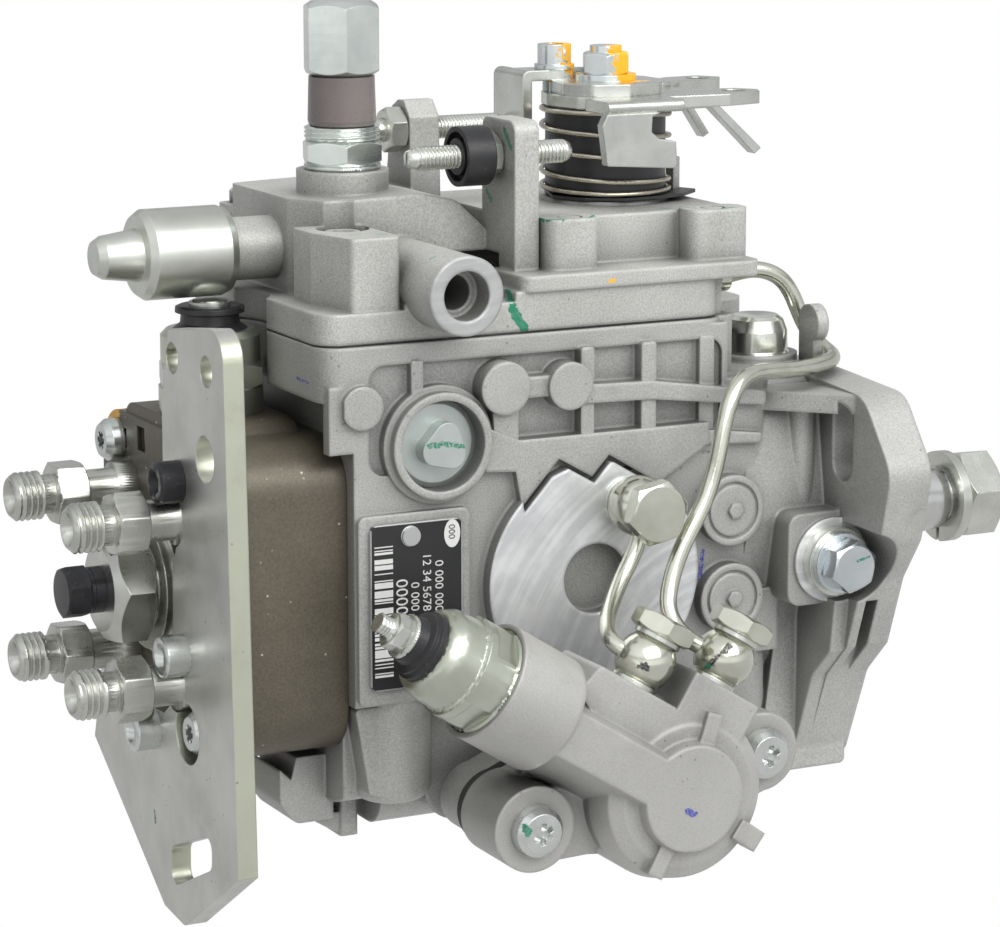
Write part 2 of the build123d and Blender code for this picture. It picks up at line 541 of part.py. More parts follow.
parts["governor_cover"] = cover - relief

gasket = box(-147.5, -39.8, -body_half_y + 1.2, body_half_y - 1.2, joint_z, cover_z)
gasket = round_edges(gasket, Axis.Z, None, 6.0) - box(-126, -43.5, -30, 30, 60, 63)
housing = parts["pump_housing"]
for x, y in cover_screw_places:
    housing += rod_z(5.2, 42, joint_z, x, y) & box(-139, -35, -41, 41, 40, 62)
    gasket -= rod_z(3.1, 60, 63, x, y)
    housing -= rod_z(2.6, 46, 62, x, y)
parts["pump_housing"] = housing
parts["cover_gasket"] = gasket - relief

# Cover screws sit on the screw pads
cover_screws = None
for x, y in cover_screw_places:
    top = 87.0 if x > -60 or y < -28 and x > -100 else 86.0 if y > 0 else screw_seat_z
    if y > 0 and x == -90:
        top = 74.6
    one = Pos(x, y, top) * Rot(0, 90, 0) * socket_screw(4.6, 3.4, 2.55, top - 50)
    cover_screws = one if cover_screws is None else cover_screws + one
parts["cover_screws"] = cover_screws

# Full load screw and its tamper cap
full_load = rod_x(3.95, -166, -137, 5, 79) - box(-167, -164.6, 4.4, 5.6, 74, 84)
cap = lathe([(-152.6, 8.2), (-152.6, 10.2), (-154.4, 10.9), (-173.2, 10.9), (-175.0, 9.6), (-175.0, 6.4),
             (-183.8, 5.2), (-185.8, 4.0), (-185.8, 0), (-183.6, 0), (-173.4, 3.0), (-168, 8.2)])
parts["full_load_cap"] = Pos(0, 5, 79) * cap

# Top union with lock nut, sleeve and cap nut
post = Pos(-123.3, 0, 0) * to_z
union = lathe([(80, 0), (80, 5.9), (97.6, 5.9), (97.6, 9.3), (98.8, 9.3), (98.8, 7.8), (108.2, 7.8), (108.2, 5.4),
               (126, 5.4), (126, 0)])
union += lathe([(104.9, 7.7), (104.9, 9.2), (108.0, 9.2), (108.0, 7.7)])
parts["top_union"] = post * (union - rod_x(2.5, 78, 128))
parts["top_union_lock_nut"] = post * (hex_x(18.0, 98.8, 104.8, 12, 1.2) - rod_x(7.85, 98, 106))
parts["top_union_sleeve"] = post * (lathe([(108.3, 0), (108.3, 8.0), (109.4, 8.3), (120, 8.0), (120, 0)])
                                    - rod_x(5.45, 107, 122))
parts["top_union_cap_nut"] = post * (hex_x(17.0, 120.0, 138.0, 13, 1.6) - rod_x(5.45, 119, 132))

# Stop screws with their nuts and collar
idle = lathe([(-112, 0), (-112, 2.2), (-111.2, 2.9), (-74.2, 2.9), (-72.8, 2.0), (-72.4, 0)])
speed = lathe([(-116.6, 0), (-116.6, 1.8), (-113.8, 2.9), (-75.0, 2.9), (-73.2, 2.2), (-72.8, 0)])
speed -= box(-117, -115.2, -0.5, 0.5, -4, 4)
parts["adjusting_screws"] = full_load + Pos(0, idle_y, idle_z) * idle + Pos(0, speed_y, speed_z) * speed
parts["speed_stop_collar"] = Pos(0, speed_y, speed_z) * (
    rod_x(7.2, -103.4, -96.0) - rod_x(2.95, -110, -90) - (rod_x(6.0, -104, -101.4) - rod_x(4.4, -104, -101)))
nuts = Pos(0, idle_y, idle_z) * (hex_x(10.0, -105.5, -100.5, 8, 0.7) - rod_x(2.95, -110, -98))
nuts += Pos(0, speed_y, speed_z) * (hex_x(10.0, -96.0, -93.0, 0, 0.6) - rod_x(2.95, -97, -92))
parts["adjusting_screw_nuts"] = nuts

# Control lever group
axis_z = Pos(lever_x, 0, 0) * to_z
lever_shaft = lathe([(66, 0), (66, 4.2), (70, 4.95), (110, 4.95), (110, 4.0), (124.6, 4.0), (124.6, 0)])
lever_shaft += rod_x(2.0, 60, 66.4, 2.6, 0)
parts["lever_shaft"] = axis_z * lever_shaft
drum = lathe([(88.4, 5.0), (88.4, 15.6), (89.8, 15.6), (90.4, 14.6), (108.0, 14.6), (108.6, 15.8), (110, 15.8),
              (110, 5.0)])
drum_rib_r = 15.3
wire_r = 0.75
for h in (94.0, 99.0, 104.0):
    drum += lathe([(h, 14.0), (h, drum_rib_r), (h + 1.0, drum_rib_r), (h + 1.0, 14.0)])
parts["lever_drum"] = axis_z * (drum - rod_x(5.0, 80, 112))
disc = slab_z([(-67.5, -3), (-63, -11), (-54, -16.6), (-44, -16), (-36, -13.5), (-28.5, -7), (-35.6, 8), (-42, 14),
               (-51, 16.6), (-62, 12)], 87.4, 88.2, 1.5)
parts["lever_base_disc"] = disc - rod_z(5.3, 80, 90, lever_x, 0) - box(-33.4, -30.8, -3.4, 1.4, 80, 90)
coil_path = Helix(pitch=4.0, height=18.0, radius=drum_rib_r + wire_r + 0.55)
coil = sweep(Plane(coil_path @ 0, z_dir=coil_path % 0) * Circle(wire_r), coil_path)
parts["lever_return_spring"] = Pos(lever_x, 0, 89.4) * Rot(0, 0, 200) * coil
lower_plate = slab_z([(-66.5, 2), (-64, -9.5), (-57, -15.6), (-47, -17.8), (-36, -18.5), (-26, -19), (-16, -16.5),
                      (-13.4, -11), (-17, -6.2), (-27, -3.5), (-30, 4), (-22, 14), (-8, 17.5), (-4.5, 23), (-8, 28.6),
                      (-18, 28), (-34, 19), (-44, 15.5), (-56, 16), (-64, 10)], lever_plate_z, lever_plate_z + 3.0)
lower_plate = fillet(lower_plate.edges().filter_by(Axis.Z), 1.8)
lower_plate -= rod_z(3.2, 105, 118, -20.5, -11.2) + rod_z(3.2, 105, 118, -11.5, 22.6) + rod_z(3.0, 105, 118, -32, 9)
lower_plate -= rod_z(4.0, 105, 118, lever_x, 0)
tab = slab_y([(-64.4, 110.1), (-65.8, 107.4), (-64.4, 97.6), (-45.8, 96.2), (-45.0, 97.0), (-45.4, 102.8),
              (-50.0, 103.6), (-52.2, 105.4), (-52.0, 109.2), (-49.8, 110.1)], -26.0, -23.2)
shoulder = box(-64.0, -43.0, -26.0, -13.6, lever_plate_z, lever_plate_z + 3.0)
shoulder = round_edges(shoulder, Axis.X, (Axis.Y, 0), 1.4)
parts["control_lever"] = lower_plate + tab + shoulder
upper_plate = slab_z([(-65.5, -4), (-61, -12), (-52, -14.5), (-42, -12), (-37, -4), (-37.4, 5), (-44, 12.5),
                      (-54, 14), (-63, 9)], lever_plate_z + 3.0, lever_plate_z + 6.0, 1.5)
upper_plate -= rod_z(4.0, 105, 118, lever_x, 0)
strip = box(-72.2, -66, 4, 14, lever_plate_z + 6.0, lever_plate_z + 8.6)
strip += box(-72.2, -69.6, 4, 20, 103.2, lever_plate_z + 8.6)
strip = fillet(strip.edges().filter_by(Axis.Y).group_by(Axis.Z)[-1].group_by(Axis.X)[0], 2.0)
strip += slab_z([(-66.2, 4), (-66.2, 14), (-60, 12), (-52, 8), (-52, 4)], lever_plate_z + 6.0, lever_plate_z + 8.6)
strip -= rod_z(3.0, 110, 122, -61.5, 7.6)
upper_plate -= rod_z(3.0, 110, 122, -61.5, 7.6)
strip -= rod_z(8.2, 110, 124, lever_x, 0)
parts["lever_stop_plates"] = upper_plate + strip
nut = rod_x(7.6, lever_plate_z + 6.0, lever_plate_z + 7.6) + hex_x(11.0, lever_plate_z + 7.4, lever_plate_z + 13.0, 5, 0.8)
fasteners = axis_z * (nut - rod_x(4.0, 110, 126))
clamp_bolt = lathe([(0, 0), (0, 5.0), (1.2, 5.0), (1.2, 4.2), (6.2, 4.2), (6.2, 0)]) + rod_x(2.95, -5.6, 0.1)
parts["lever_fasteners"] = fasteners + Pos(-61.5, 7.6, lever_plate_z + 8.6) * to_z * (clamp_bolt - rod_x(2.4, 3.6, 7))
clip = box(-34.2, -25, -7, 11.5, 108.4, 109.6) + rod_z(2.4, 109, 113.2, -32, 9) + rod_z(4.2, 113.0, 114.0, -32, 9)
clip += slab_y([(-27, 109.6), (-23, 109.6), (-9.8, 97.6), (-11.6, 96.2), (-24.4, 108.4), (-27, 108.4)], -7, -3.4)
clip += slab_y([(-28, 109.6), (-24, 109.6), (-17.8, 100.6), (-19.4, 99.6), (-25.4, 108.4), (-28, 108.4)], 5.5, 9)
parts["seal_clip"] = clip

# Timing cover with the arm and cup of the cold start solenoid
cover_y0 = timing_face_y - 32.0
spacer_y = timing_face_y - spacer_t
near_seat_y = timing_face_y - 22.0
far_seat_y = timing_face_y - 12.0
timing = timing_outline(far_seat_y, spacer_y, 22.3, 9.8)
timing += rod_y(10.4, near_seat_y, spacer_y, lug_near[0], lug_near[1])
timing += slab_y([(-28, -13.6), (-8, -8), (-8, -22), (-26, -34.2)], near_seat_y + 3, spacer_y)
bowl = lathe([(cover_y0 + 1.6, 0), (cover_y0 + 1.6, 17.0), (cover_y0 + 3.6, 20.4), (cover_y0 + 10, 22.3),
              (spacer_y, 22.3), (spacer_y, 0)])
disc_top = lathe([(cover_y0 - 1.4, 0), (cover_y0 - 1.4, 12.8), (cover_y0 + 3, 14.2), (cover_y0 + 3, 0)])
timing += Rot(0, 0, 90) * (bowl + disc_top)
spoke = box(11, 20.6, cover_y0 + 0.2, cover_y0 + 5, -2.0, 2.0)
for turn in (-104, 86):
    timing += Rot(0, turn, 0) * spoke
timing += Rot(0, 4, 0) * box(16, 23.4, cover_y0 + 0.6, cover_y0 + 12, -2.6, 2.6)
timing += slab_x([(cover_y0 - 1.4, -6.4), (cover_y0 - 1.4, 4.8), (cover_y0 + 14, 12.0), (spacer_y - 5, 12.0),
                  (spacer_y - 5, -13.0), (cover_y0 + 14, -13.0)], -41, -8)
cup_x0 = -58.4
cup_x1 = -38.6
cup = rod_x(14.4, cup_x0, cup_x1, solenoid_y, solenoid_z)
timing += fillet(cup.edges().group_by(Axis.X)[-1], 2.0)
timing += slab_y([(-40, 9), (-38, 16.6), (-13.5, 16.6), (-13.5, 4), (-30, 4)], solenoid_y - 9, solenoid_y + 9, 1.5)
pad_high_z = 26.4
timing += box(-14, 6, solenoid_y - 9, solenoid_y + 9, 8, pad_high_z)
can_seat_x = -52.0
timing -= rod_x(13.2, cup_x0 - 1, can_seat_x, solenoid_y, solenoid_z)
timing -= rod_x(7.2, can_seat_x - 1, -30, solenoid_y, solenoid_z)
timing -= rod_z(4.1, 6, 30, -22.5, solenoid_y)
timing -= rod_z(4.1, 10, 30, -3.5, solenoid_y)
timing -= rod_y(13.0, timing_face_y - 18, spacer_y + 1)
for (u, n), seat_y in ((lug_near, near_seat_y), (lug_far, far_seat_y)):
    timing -= rod_y(3.2, -90, spacer_y + 1, u, n)
    timing -= rod_y(7.2, seat_y - 20, seat_y, u, n)
parts["timing_cover"] = frame_t * timing
spacer = timing_outline(spacer_y, timing_face_y, 21.5, 9.4) - rod_y(13.0, -70, -50)
end_cover = timing_outline(-timing_face_y, -timing_face_y + 7, 21.0, 8.6)
end_cover += rod_y(15.0, -timing_face_y + 6, -timing_face_y + 11)
near_screws = None
far_screws = None
for (u, n), seat_y in ((lug_near, near_seat_y), (lug_far, far_seat_y)):
    spacer -= rod_y(3.2, -70, -50, u, n)
    end_cover -= rod_y(3.2, 50, 73, u, n)
    reach = timing_face_y + 10 - seat_y
    one = Pos(u, seat_y, n) * Rot(0, 0, 90) * pan_screw(6.2, 4.4, 2.95, reach)
    near_screws = one if near_screws is None else near_screws + one
    other = Pos(u, -timing_face_y + 7, n) * Rot(0, 0, -90) * pan_screw(6.2, 4.4, 2.95, 17)
    far_screws = other if far_screws is None else far_screws + other
parts["timing_cover_spacer"] = frame_t * spacer
parts["timing_end_cover"] = frame_t * (end_cover - rod_y(12.0, 50, -timing_face_y + 5))
parts["timing_cover_screws"] = frame_t * (near_screws + far_screws)

# Cold start solenoid
cold = frame_t * Pos(0, solenoid_y, solenoid_z)
cold_can = lathe([(can_seat_x, 0), (can_seat_x, 13.1), (-58.2, 13.1), (-58.9, 12.5), (-66.8, 12.5), (-67.4, 11.5),
                  (-73.0, 11.3), (-75.6, 10.0), (-76.2, 8.8), (-76.2, 0)])
cold_can += rod_x(7.0, can_seat_x - 0.1, -32)
parts["cold_start_solenoid"] = cold * (cold_can - rod_x(3.6, -60, -30))
parts["cold_start_plunger"] = cold * (rod_x(3.0, -46, -33.5) - rod_x(1.4, -38, -33))
cold_insulator = lathe([(-76.2, 0), (-76.2, 8.4), (-77.6, 8.4), (-78.0, 7.6), (-79.0, 7.6), (-79.6, 6.0),
                        (-81.8, 5.6), (-81.8, 0)])
parts["solenoid_insulators"] = cold * cold_insulator + stop_insulator
cold_terminal = rod_x(5.4, -82.8, -81.8) + hex_x(8.0, -86.6, -82.6, 10, 0.6) + rod_x(2.4, -90.2, -86.4)
parts["solenoid_terminals"] = cold * cold_terminal + stop_terminal

# Side plug, lock bolt, closing cap and label plate
side_plug = Pos(plug_x, plug_seat_y, plug_z) * Rot(0, 0, 90) * lathe(
    [(-1.2, 0), (-1.2, 9.4), (-0.4, 10.6), (0, 10.6), (0, 7.9), (5, 7.9), (5, 0)])
grip = extrude(fillet(RegularPolygon(radius=9.4, side_count=3).vertices(), 3.4), 5.4)
side_plug += Pos(plug_x + 0.6, plug_seat_y, plug_z - 0.4) * Rot(90, 0, 0) * Rot(0, 0, 78) * grip
parts["side_plug"] = side_plug
lock = Pos(lock_x, lock_seat_y, 0) * Rot(0, 0, 90)
seal_washers += lock * (rod_x(8.6, -3.4, 0) - rod_x(4.0, -5, 1))
lock_bolt = rod_x(7.6, -5.2, -3.4) + hex_x(11.5, -10.8, -5.0, 10, 0.8) + rod_x(3.9, -3.5, 14)
parts["shaft_lock_bolt"] = lock * lock_bolt
reg_cap = lathe([(0, 5.0), (0, 8.7), (0.6, 8.2), (5.6, 8.0), (8.4, 6.9), (9.4, 5.6), (9.0, 0), (8.0, 0),
                 (7.6, 5.0)])
parts["valve_cap"] = Pos(cap_x, cap_y, cap_seat_z) * to_z * reg_cap
label_y = -body_half_y - 1.4
label = box(-137.0, -113.0, label_y - 1.0, label_y, -21.2, 18.8)
label = round_edges(label, Axis.Y, None, 2.0)
parts["label_plate"] = label + rod_y(2.3, label_y - 1.8, label_y - 0.8, -126.6, 15.6)

# Return pipes with ball banjos and their bolts
def banjo_ball(r, height, bore):
    ball = Sphere(r) & Box(2 * r, 2 * r, height)
    return ball - Cylinder(bore, 2 * height)


def banjo_bolt(head_af, head_h, neck_r, grip, length):
    """Hollow bolt along Z: seat of the head at zero, shank going down."""
    head_part = to_z * hex_x(head_af, 0, head_h, 12, 0.9)
    return head_part + rod_z(neck_r, -length, 0.05)


def pipe(points, r_out):
    """Bent round pipe that runs smoothly through the given points."""
    path = Spline(*points)
    return sweep(Plane(path @ 0, z_dir=path % 0) * Circle(r_out), path)


pipe_r = 2.1
seat_low = frame_t * Pos(-22.5, solenoid_y, 16.6)
seat_high = frame_t * Pos(-3.5, solenoid_y, pad_high_z)
seat_face = Pos(feed_banjo_x, pad_y, feed_banjo_z) * Rot(90, 0, 0)
ball_h = 10.6
washer_t = 1.2
washers = None
bolts = None
balls = []
for place in (seat_low, seat_high, seat_face):
    pair = place * (rod_z(5.8, 0, washer_t) - rod_z(4.15, -1, 3))
    pair += place * (rod_z(5.8, washer_t + ball_h, 2 * washer_t + ball_h) - rod_z(4.15, 5, 20))
    washers = pair if washers is None else washers + pair
    one = place * Pos(0, 0, 2 * washer_t + ball_h) * banjo_bolt(14.0, 4.6, 4.0, ball_h, 2 * washer_t + ball_h + 5.5)
    bolts = one if bolts is None else bolts + one
    balls.append(place * Pos(0, 0, washer_t + ball_h / 2) * banjo_ball(7.3, ball_h, 4.1))
parts["banjo_bolts"] = bolts
parts["seal_washers"] = seal_washers + washers
low_centre = (seat_low * Pos(0, 0, washer_t + ball_h / 2)).position
high_centre = (seat_high * Pos(0, 0, washer_t + ball_h / 2)).position
face_centre = (seat_face * Pos(0, 0, washer_t + ball_h / 2)).position
short_points = [(face_centre.X, face_centre.Y, face_centre.Z - 4.0), (-70.6, -53.2, 10.0), (-75.0, -54.8, 3.4),
                (-80.6, -59.2, -2.4), (-84.9, -65.0, -5.8), (-86.8, -71.0, -8.4),
                (low_centre.X - 3.4, low_centre.Y, low_centre.Z + 2.0)]
short = pipe(short_points, pipe_r)
parts["short_pipe"] = (short + balls[0] + balls[2]) - seat_low * rod_z(4.1, -5, 30) - seat_face * rod_z(4.1, -5, 30)
long_points = [(-35.0, fitting_y, fitting_z), (-26.0, fitting_y, fitting_z), (-16.5, -18.4, 68.2),
               (-10.4, -19.0, 65.4), (-6.8, -19.5, 60.0), (-4.4, -20.4, 54.2), (-2.6, -24.0, 49.6),
               (-3.0, -31.5, 47.4), (-11.0, -39.5, 47.0), (-23.4, -45.5, 47.4), (-35.0, -50.4, 48.4),
               (-43.0, -54.2, 47.2), (-47.4, -56.2, 41.8), (-51.2, -58.0, 30.7), (-55.6, -59.4, 20.2),
               (-61.6, -60.8, 11.3), (-66.4, -62.6, 2.3), (-68.6, -66.0, -4.9),
               (-66.8, -70.6, -9.6), (high_centre.X - 3.2, high_centre.Y, high_centre.Z + 2.2)]
long_pipe = pipe(long_points, pipe_r)
fitting = rod_x(3.35, -46, -29.4, fitting_y, fitting_z) + rod_x(3.9, -29.4, -26.4, fitting_y, fitting_z)
parts["long_pipe"] = (long_pipe + balls[1] + fitting) - seat_high * rod_z(4.1, -5, 30)
# Governor: cage with its gear, flyweights, sleeve and lever
cage_gear_r = 14.8
cage = rod_x(cage_gear_r, -57, -51, 0, governor_z) + rod_x(15.5, -61.5, -58.5, 0, governor_z)
cage += rod_x(6.0, -60, -45, 0, governor_z) + rod_x(3.9, -94, -60, 0, governor_z)
for side in (9.5, -12.0):
    cage += box(-72, -60, side, side + 2.5, governor_z - 4, governor_z + 4)
parts["governor_cage"] = cage
weight = round_edges(box(-78, -63, -7, 7, 6.6, 11.6), Axis.Y, None, 1.2)
for side in (3.9, -5.4):
    weight += box(-68.4, -65.6, side, side + 1.5, 3.4, 7.5)
weight += rod_y(1.6, -7, 7, -64, 11.2)
parts["flyweight_upper"] = Pos(0, 0, governor_z) * weight
parts["flyweight_lower"] = Pos(0, 0, governor_z) * Rot(180, 0, 0) * weight
sleeve = rod_x(5.8, -97, -68.8, 0, governor_z) - rod_x(3.9 + run_fit, -98, -60, 0, governor_z)
parts["governor_sleeve"] = sleeve
pivot_x = -118.0
pivot_z = 23.0
ball_z = pivot_z - 12.0
lever = box(-120, -116, -6, 6, 14.5, 50) + rod_y(2.5, -33.8, 33.8, pivot_x, pivot_z)
lever += box(-116.5, -97.4, -2.4, 2.4, governor_z - 1.5, governor_z + 1.5)
lever += rod_z(1.1, ball_z, 15, pivot_x, 0) + Pos(pivot_x, 0, ball_z) * Sphere(1.9)
parts["governor_lever"] = lever

for node, shape in parts.items():
    solids = shape if isinstance(shape, list) else shape.solids()
    export_step(solids[0] if len(solids) == 1 else Compound(solids), f"parts/{node}.step")
print(len(parts), "nodes")
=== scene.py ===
import bpy
from math import cos, sin, pi, radians
from mathutils import Matrix, Vector


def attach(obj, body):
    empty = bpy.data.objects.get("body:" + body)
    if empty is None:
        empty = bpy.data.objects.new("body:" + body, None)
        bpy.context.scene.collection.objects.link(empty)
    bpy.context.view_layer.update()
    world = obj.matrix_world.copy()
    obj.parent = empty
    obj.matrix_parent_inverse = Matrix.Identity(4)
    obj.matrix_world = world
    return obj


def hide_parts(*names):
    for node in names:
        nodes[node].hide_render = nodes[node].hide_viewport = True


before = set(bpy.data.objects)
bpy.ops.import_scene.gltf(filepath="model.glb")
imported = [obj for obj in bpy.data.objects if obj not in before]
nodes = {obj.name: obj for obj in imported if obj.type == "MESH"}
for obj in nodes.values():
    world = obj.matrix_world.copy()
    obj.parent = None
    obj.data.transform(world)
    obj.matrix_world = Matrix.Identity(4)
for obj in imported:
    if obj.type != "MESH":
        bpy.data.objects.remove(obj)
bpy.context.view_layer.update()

MM = 0.001
timing_x = -73.5
timing_z = -44.5
timing_tilt = radians(32.2)
lever_x = -51.0
union_x = -123.3
outlet_pitch = 20.0
face_centre = (-78.0, -46.0, 0.6)
solenoid_y = -75.0
solenoid_z = 0.7
band_x = -61.7
flat_distance = 11.5
flat_block_height = 3.0
full_load_axis = (5.0, 79.0)
full_load_boss_x = -146.8
full_load_boss_radius = 7.65
full_load_boss_length = 14.0
near_screw_places = (-78.5, -39.0)
near_screw_y = -33.0
screw_cut_z = 86.95
screw_cut_size = 12.0
drum_radius = 15.1
drum_height = 21.6
drum_middle_z = 99.2
spring_radius = 16.2
spring_start_angle = -pi / 2 - 0.45
wire_radius = 0.62
label_face_y = -44.42
label_middle_x = -125.0
label_middle_z = -1.2
label_half_width = 11.72
label_half_height = 19.72
bars_x = -133.6
bars_z = -2.0
bars_half_width = 2.4
bars_half_height = 16.0
bar_step = 0.28
badge_centre = (-115.7, -44.4, 15.2)
badge_half_width = 2.1
badge_squash = (1.0, 1.0, 0.62)
rivet_centre = (-126.6, -44.7, 15.6)
rivet_radius = 2.5
floor_z = -340.0
green = (0.008, 0.20, 0.11, 1)
yellow = (0.90, 0.46, 0.010, 1)
black = (0.012, 0.012, 0.014, 1)
red = (0.38, 0.012, 0.045, 1)
blue = (0.035, 0.05, 0.33, 1)
pale_print = (0.72, 0.72, 0.70, 1)


def tilted(x, y, z):
    """Point of the tilted timing cover frame, in millimetres, as a point of the pump."""
    return (timing_x + x * cos(timing_tilt) + z * sin(timing_tilt), y,
            timing_z - x * sin(timing_tilt) + z * cos(timing_tilt))


# Shader helpers
def new_group(name, inputs, outputs):
    """Node group with named inputs (kind, name, default) and outputs (kind, name)."""
    group = bpy.data.node_groups.new(name, "ShaderNodeTree")
    for kind, label, default in inputs:
        socket = group.interface.new_socket(label, in_out="INPUT", socket_type="NodeSocket" + kind)
        if default is not None:
            socket.default_value = default
    for kind, label in outputs:
        group.interface.new_socket(label, in_out="OUTPUT", socket_type="NodeSocket" + kind)
    start = group.nodes.new("NodeGroupInput")
    end = group.nodes.new("NodeGroupOutput")
    return group, start.outputs, end.inputs


def add(tree, kind, **settings):
    """New node with properties and input values set by name or number."""
    node = tree.nodes.new("ShaderNode" + kind)
    for key, value in settings.items():
        if key == "inputs":
            for slot, amount in value.items():
                node.inputs[slot].default_value = amount
        else:
            setattr(node, key, value)
    return node


def join(tree, source, target):
    tree.links.new(source, target)


def feed(tree, socket, value):
    """Give a socket a plain value or the result of another node."""
    if isinstance(value, (int, float, tuple)):
        socket.default_value = value
    else:
        join(tree, value, socket)


def noise_at(tree, vector, scale, detail=2.0, rough=0.55):
    node = add(tree, "TexNoise", inputs={"Scale": scale, "Detail": detail, "Roughness": rough})
    join(tree, vector, node.inputs["Vector"])
    return node.outputs["Fac"]


def mapped(tree, value, low, high, to_low=0.0, to_high=1.0):
    limits = {"From Min": low, "From Max": high, "To Min": to_low, "To Max": to_high}
    node = add(tree, "MapRange", inputs=limits)
    join(tree, value, node.inputs["Value"])
    return node.outputs["Result"]


def maths(tree, operation, a, b=0.0):
    node = add(tree, "Math", operation=operation)
    feed(tree, node.inputs[0], a)
    feed(tree, node.inputs[1], b)
    return node.outputs[0]


def vectors(tree, operation, a, b=None, scale=None):
    node = add(tree, "VectorMath", operation=operation)
    feed(tree, node.inputs[0], a)
    if b is not None:
        feed(tree, node.inputs[1], b)
    if scale is not None:
        feed(tree, node.inputs["Scale"], scale)
    if operation in ("DOT_PRODUCT", "LENGTH", "DISTANCE"):
        return node.outputs["Value"]
    return node.outputs["Vector"]


def blend_colours(tree, factor, a, b, mode="MIX"):
    node = add(tree, "Mix", data_type="RGBA", blend_type=mode)
    for index, value in ((0, factor), (6, a), (7, b)):
        feed(tree, node.inputs[index], value)
    return node.outputs[2]


def blend_values(tree, factor, a, b):
    node = add(tree, "Mix", data_type="FLOAT")
    for index, value in ((0, factor), (2, a), (3, b)):
        feed(tree, node.inputs[index], value)
    return node.outputs[0]


def shaded(tree, colour, amount):
    """Colour multiplied by a grey value."""
    grey = add(tree, "CombineColor")
    for index in range(3):
        join(tree, amount, grey.inputs[index])
    return blend_colours(tree, 1.0, colour, grey.outputs[0], "MULTIPLY")


def within(tree, value, middle, half):
    """One where a coordinate lies less than half from the middle, both in millimetres."""
    away = maths(tree, "ABSOLUTE", maths(tree, "SUBTRACT", value, middle * MM))
    return maths(tree, "LESS_THAN", away, half * MM)


def mix_shaders(tree, factor, first, second):
    node = tree.nodes.new("ShaderNodeMixShader")
    for index, value in enumerate((factor, first, second)):
        join(tree, value, node.inputs[index])
    return node.outputs[0]


# Shared surface patterns
def build_cast_skin():
    """Cast skin: fine grain, coarser swells, pits and large soft blotches."""
    group, given, out = new_group(
        "cast_skin",
        [("Vector", "Position", None), ("Float", "Grain Size", 0.4), ("Float", "Pit Amount", 0.35)],
        [("Float", "Height"), ("Float", "Grain"), ("Float", "Blotch")])
    per_grain = maths(group, "DIVIDE", 1000.0, given["Grain Size"])
    scaled = vectors(group, "SCALE", given["Position"], scale=per_grain)
    fine = noise_at(group, scaled, 1.0, 1.5)
    coarse = noise_at(group, scaled, 0.3, 2.0)
    blotch = noise_at(group, given["Position"], 30.0, 3.0)
    cells = add(group, "TexVoronoi", feature="F1", inputs={"Scale": 0.2})
    join(group, scaled, cells.inputs["Vector"])
    pits = maths(group, "POWER", mapped(group, cells.outputs["Distance"], 0.0, 0.3, 1.0, 0.0), 3.0)
    pits = maths(group, "MULTIPLY", pits, given["Pit Amount"])
    height = maths(group, "ADD", maths(group, "MULTIPLY", fine, 0.5), maths(group, "MULTIPLY", coarse, 0.7))
    height = maths(group, "SUBTRACT", height, maths(group, "MULTIPLY", pits, 0.5))
    for value, label in ((height, "Height"), (fine, "Grain"), (blotch, "Blotch")):
        join(group, value, out[label])
    return group


def build_tool_lines():
    """Fine tool lines, soft smudges and short bright scratches."""
    group, given, out = new_group(
        "tool_lines",
        [("Vector", "Position", None), ("Vector", "Line Scale", (900.0, 40.0, 40.0))],
        [("Float", "Lines"), ("Float", "Smudge"), ("Float", "Scratches")])
    stretched = vectors(group, "MULTIPLY", given["Position"], given["Line Scale"])
    lines = noise_at(group, stretched, 1.0, 3.0, 0.65)
    smudge = noise_at(group, given["Position"], 70.0, 3.0)
    scratch_shape = {"Scale": 420.0, "Detail": 4.0, "Roughness": 0.75, "Distortion": 1.2}
    scratch = add(group, "TexNoise", inputs=scratch_shape)
    join(group, given["Position"], scratch.inputs["Vector"])
    sharp = mapped(group, scratch.outputs["Fac"], 0.62, 0.72)
    for value, label in ((lines, "Lines"), (smudge, "Smudge"), (sharp, "Scratches")):
        join(group, value, out[label])
    return group


def build_stains():
    """Faint grime in two sizes, and small dark specks."""
    group, given, out = new_group(
        "stains", [("Vector", "Position", None), ("Float", "Amount", 0.3), ("Float", "Speck Amount", 0.3)],
        [("Float", "Stain"), ("Float", "Specks")])
    broad = noise_at(group, given["Position"], 45.0, 4.0, 0.65)
    small = noise_at(group, given["Position"], 190.0, 3.0, 0.6)
    mask = maths(group, "MULTIPLY", mapped(group, broad, 0.5, 0.78), mapped(group, small, 0.35, 0.7))
    join(group, maths(group, "MULTIPLY", mask, given["Amount"]), out["Stain"])
    cells = add(group, "TexVoronoi", feature="F1", inputs={"Scale": 330.0})
    join(group, given["Position"], cells.inputs["Vector"])
    dots = mapped(group, cells.outputs["Distance"], 0.07, 0.13, 1.0, 0.0)
    where = mapped(group, noise_at(group, given["Position"], 110.0), 0.52, 0.6)
    dots = maths(group, "MULTIPLY", dots, where)
    join(group, maths(group, "MULTIPLY", dots, given["Speck Amount"]), out["Specks"])
    return group


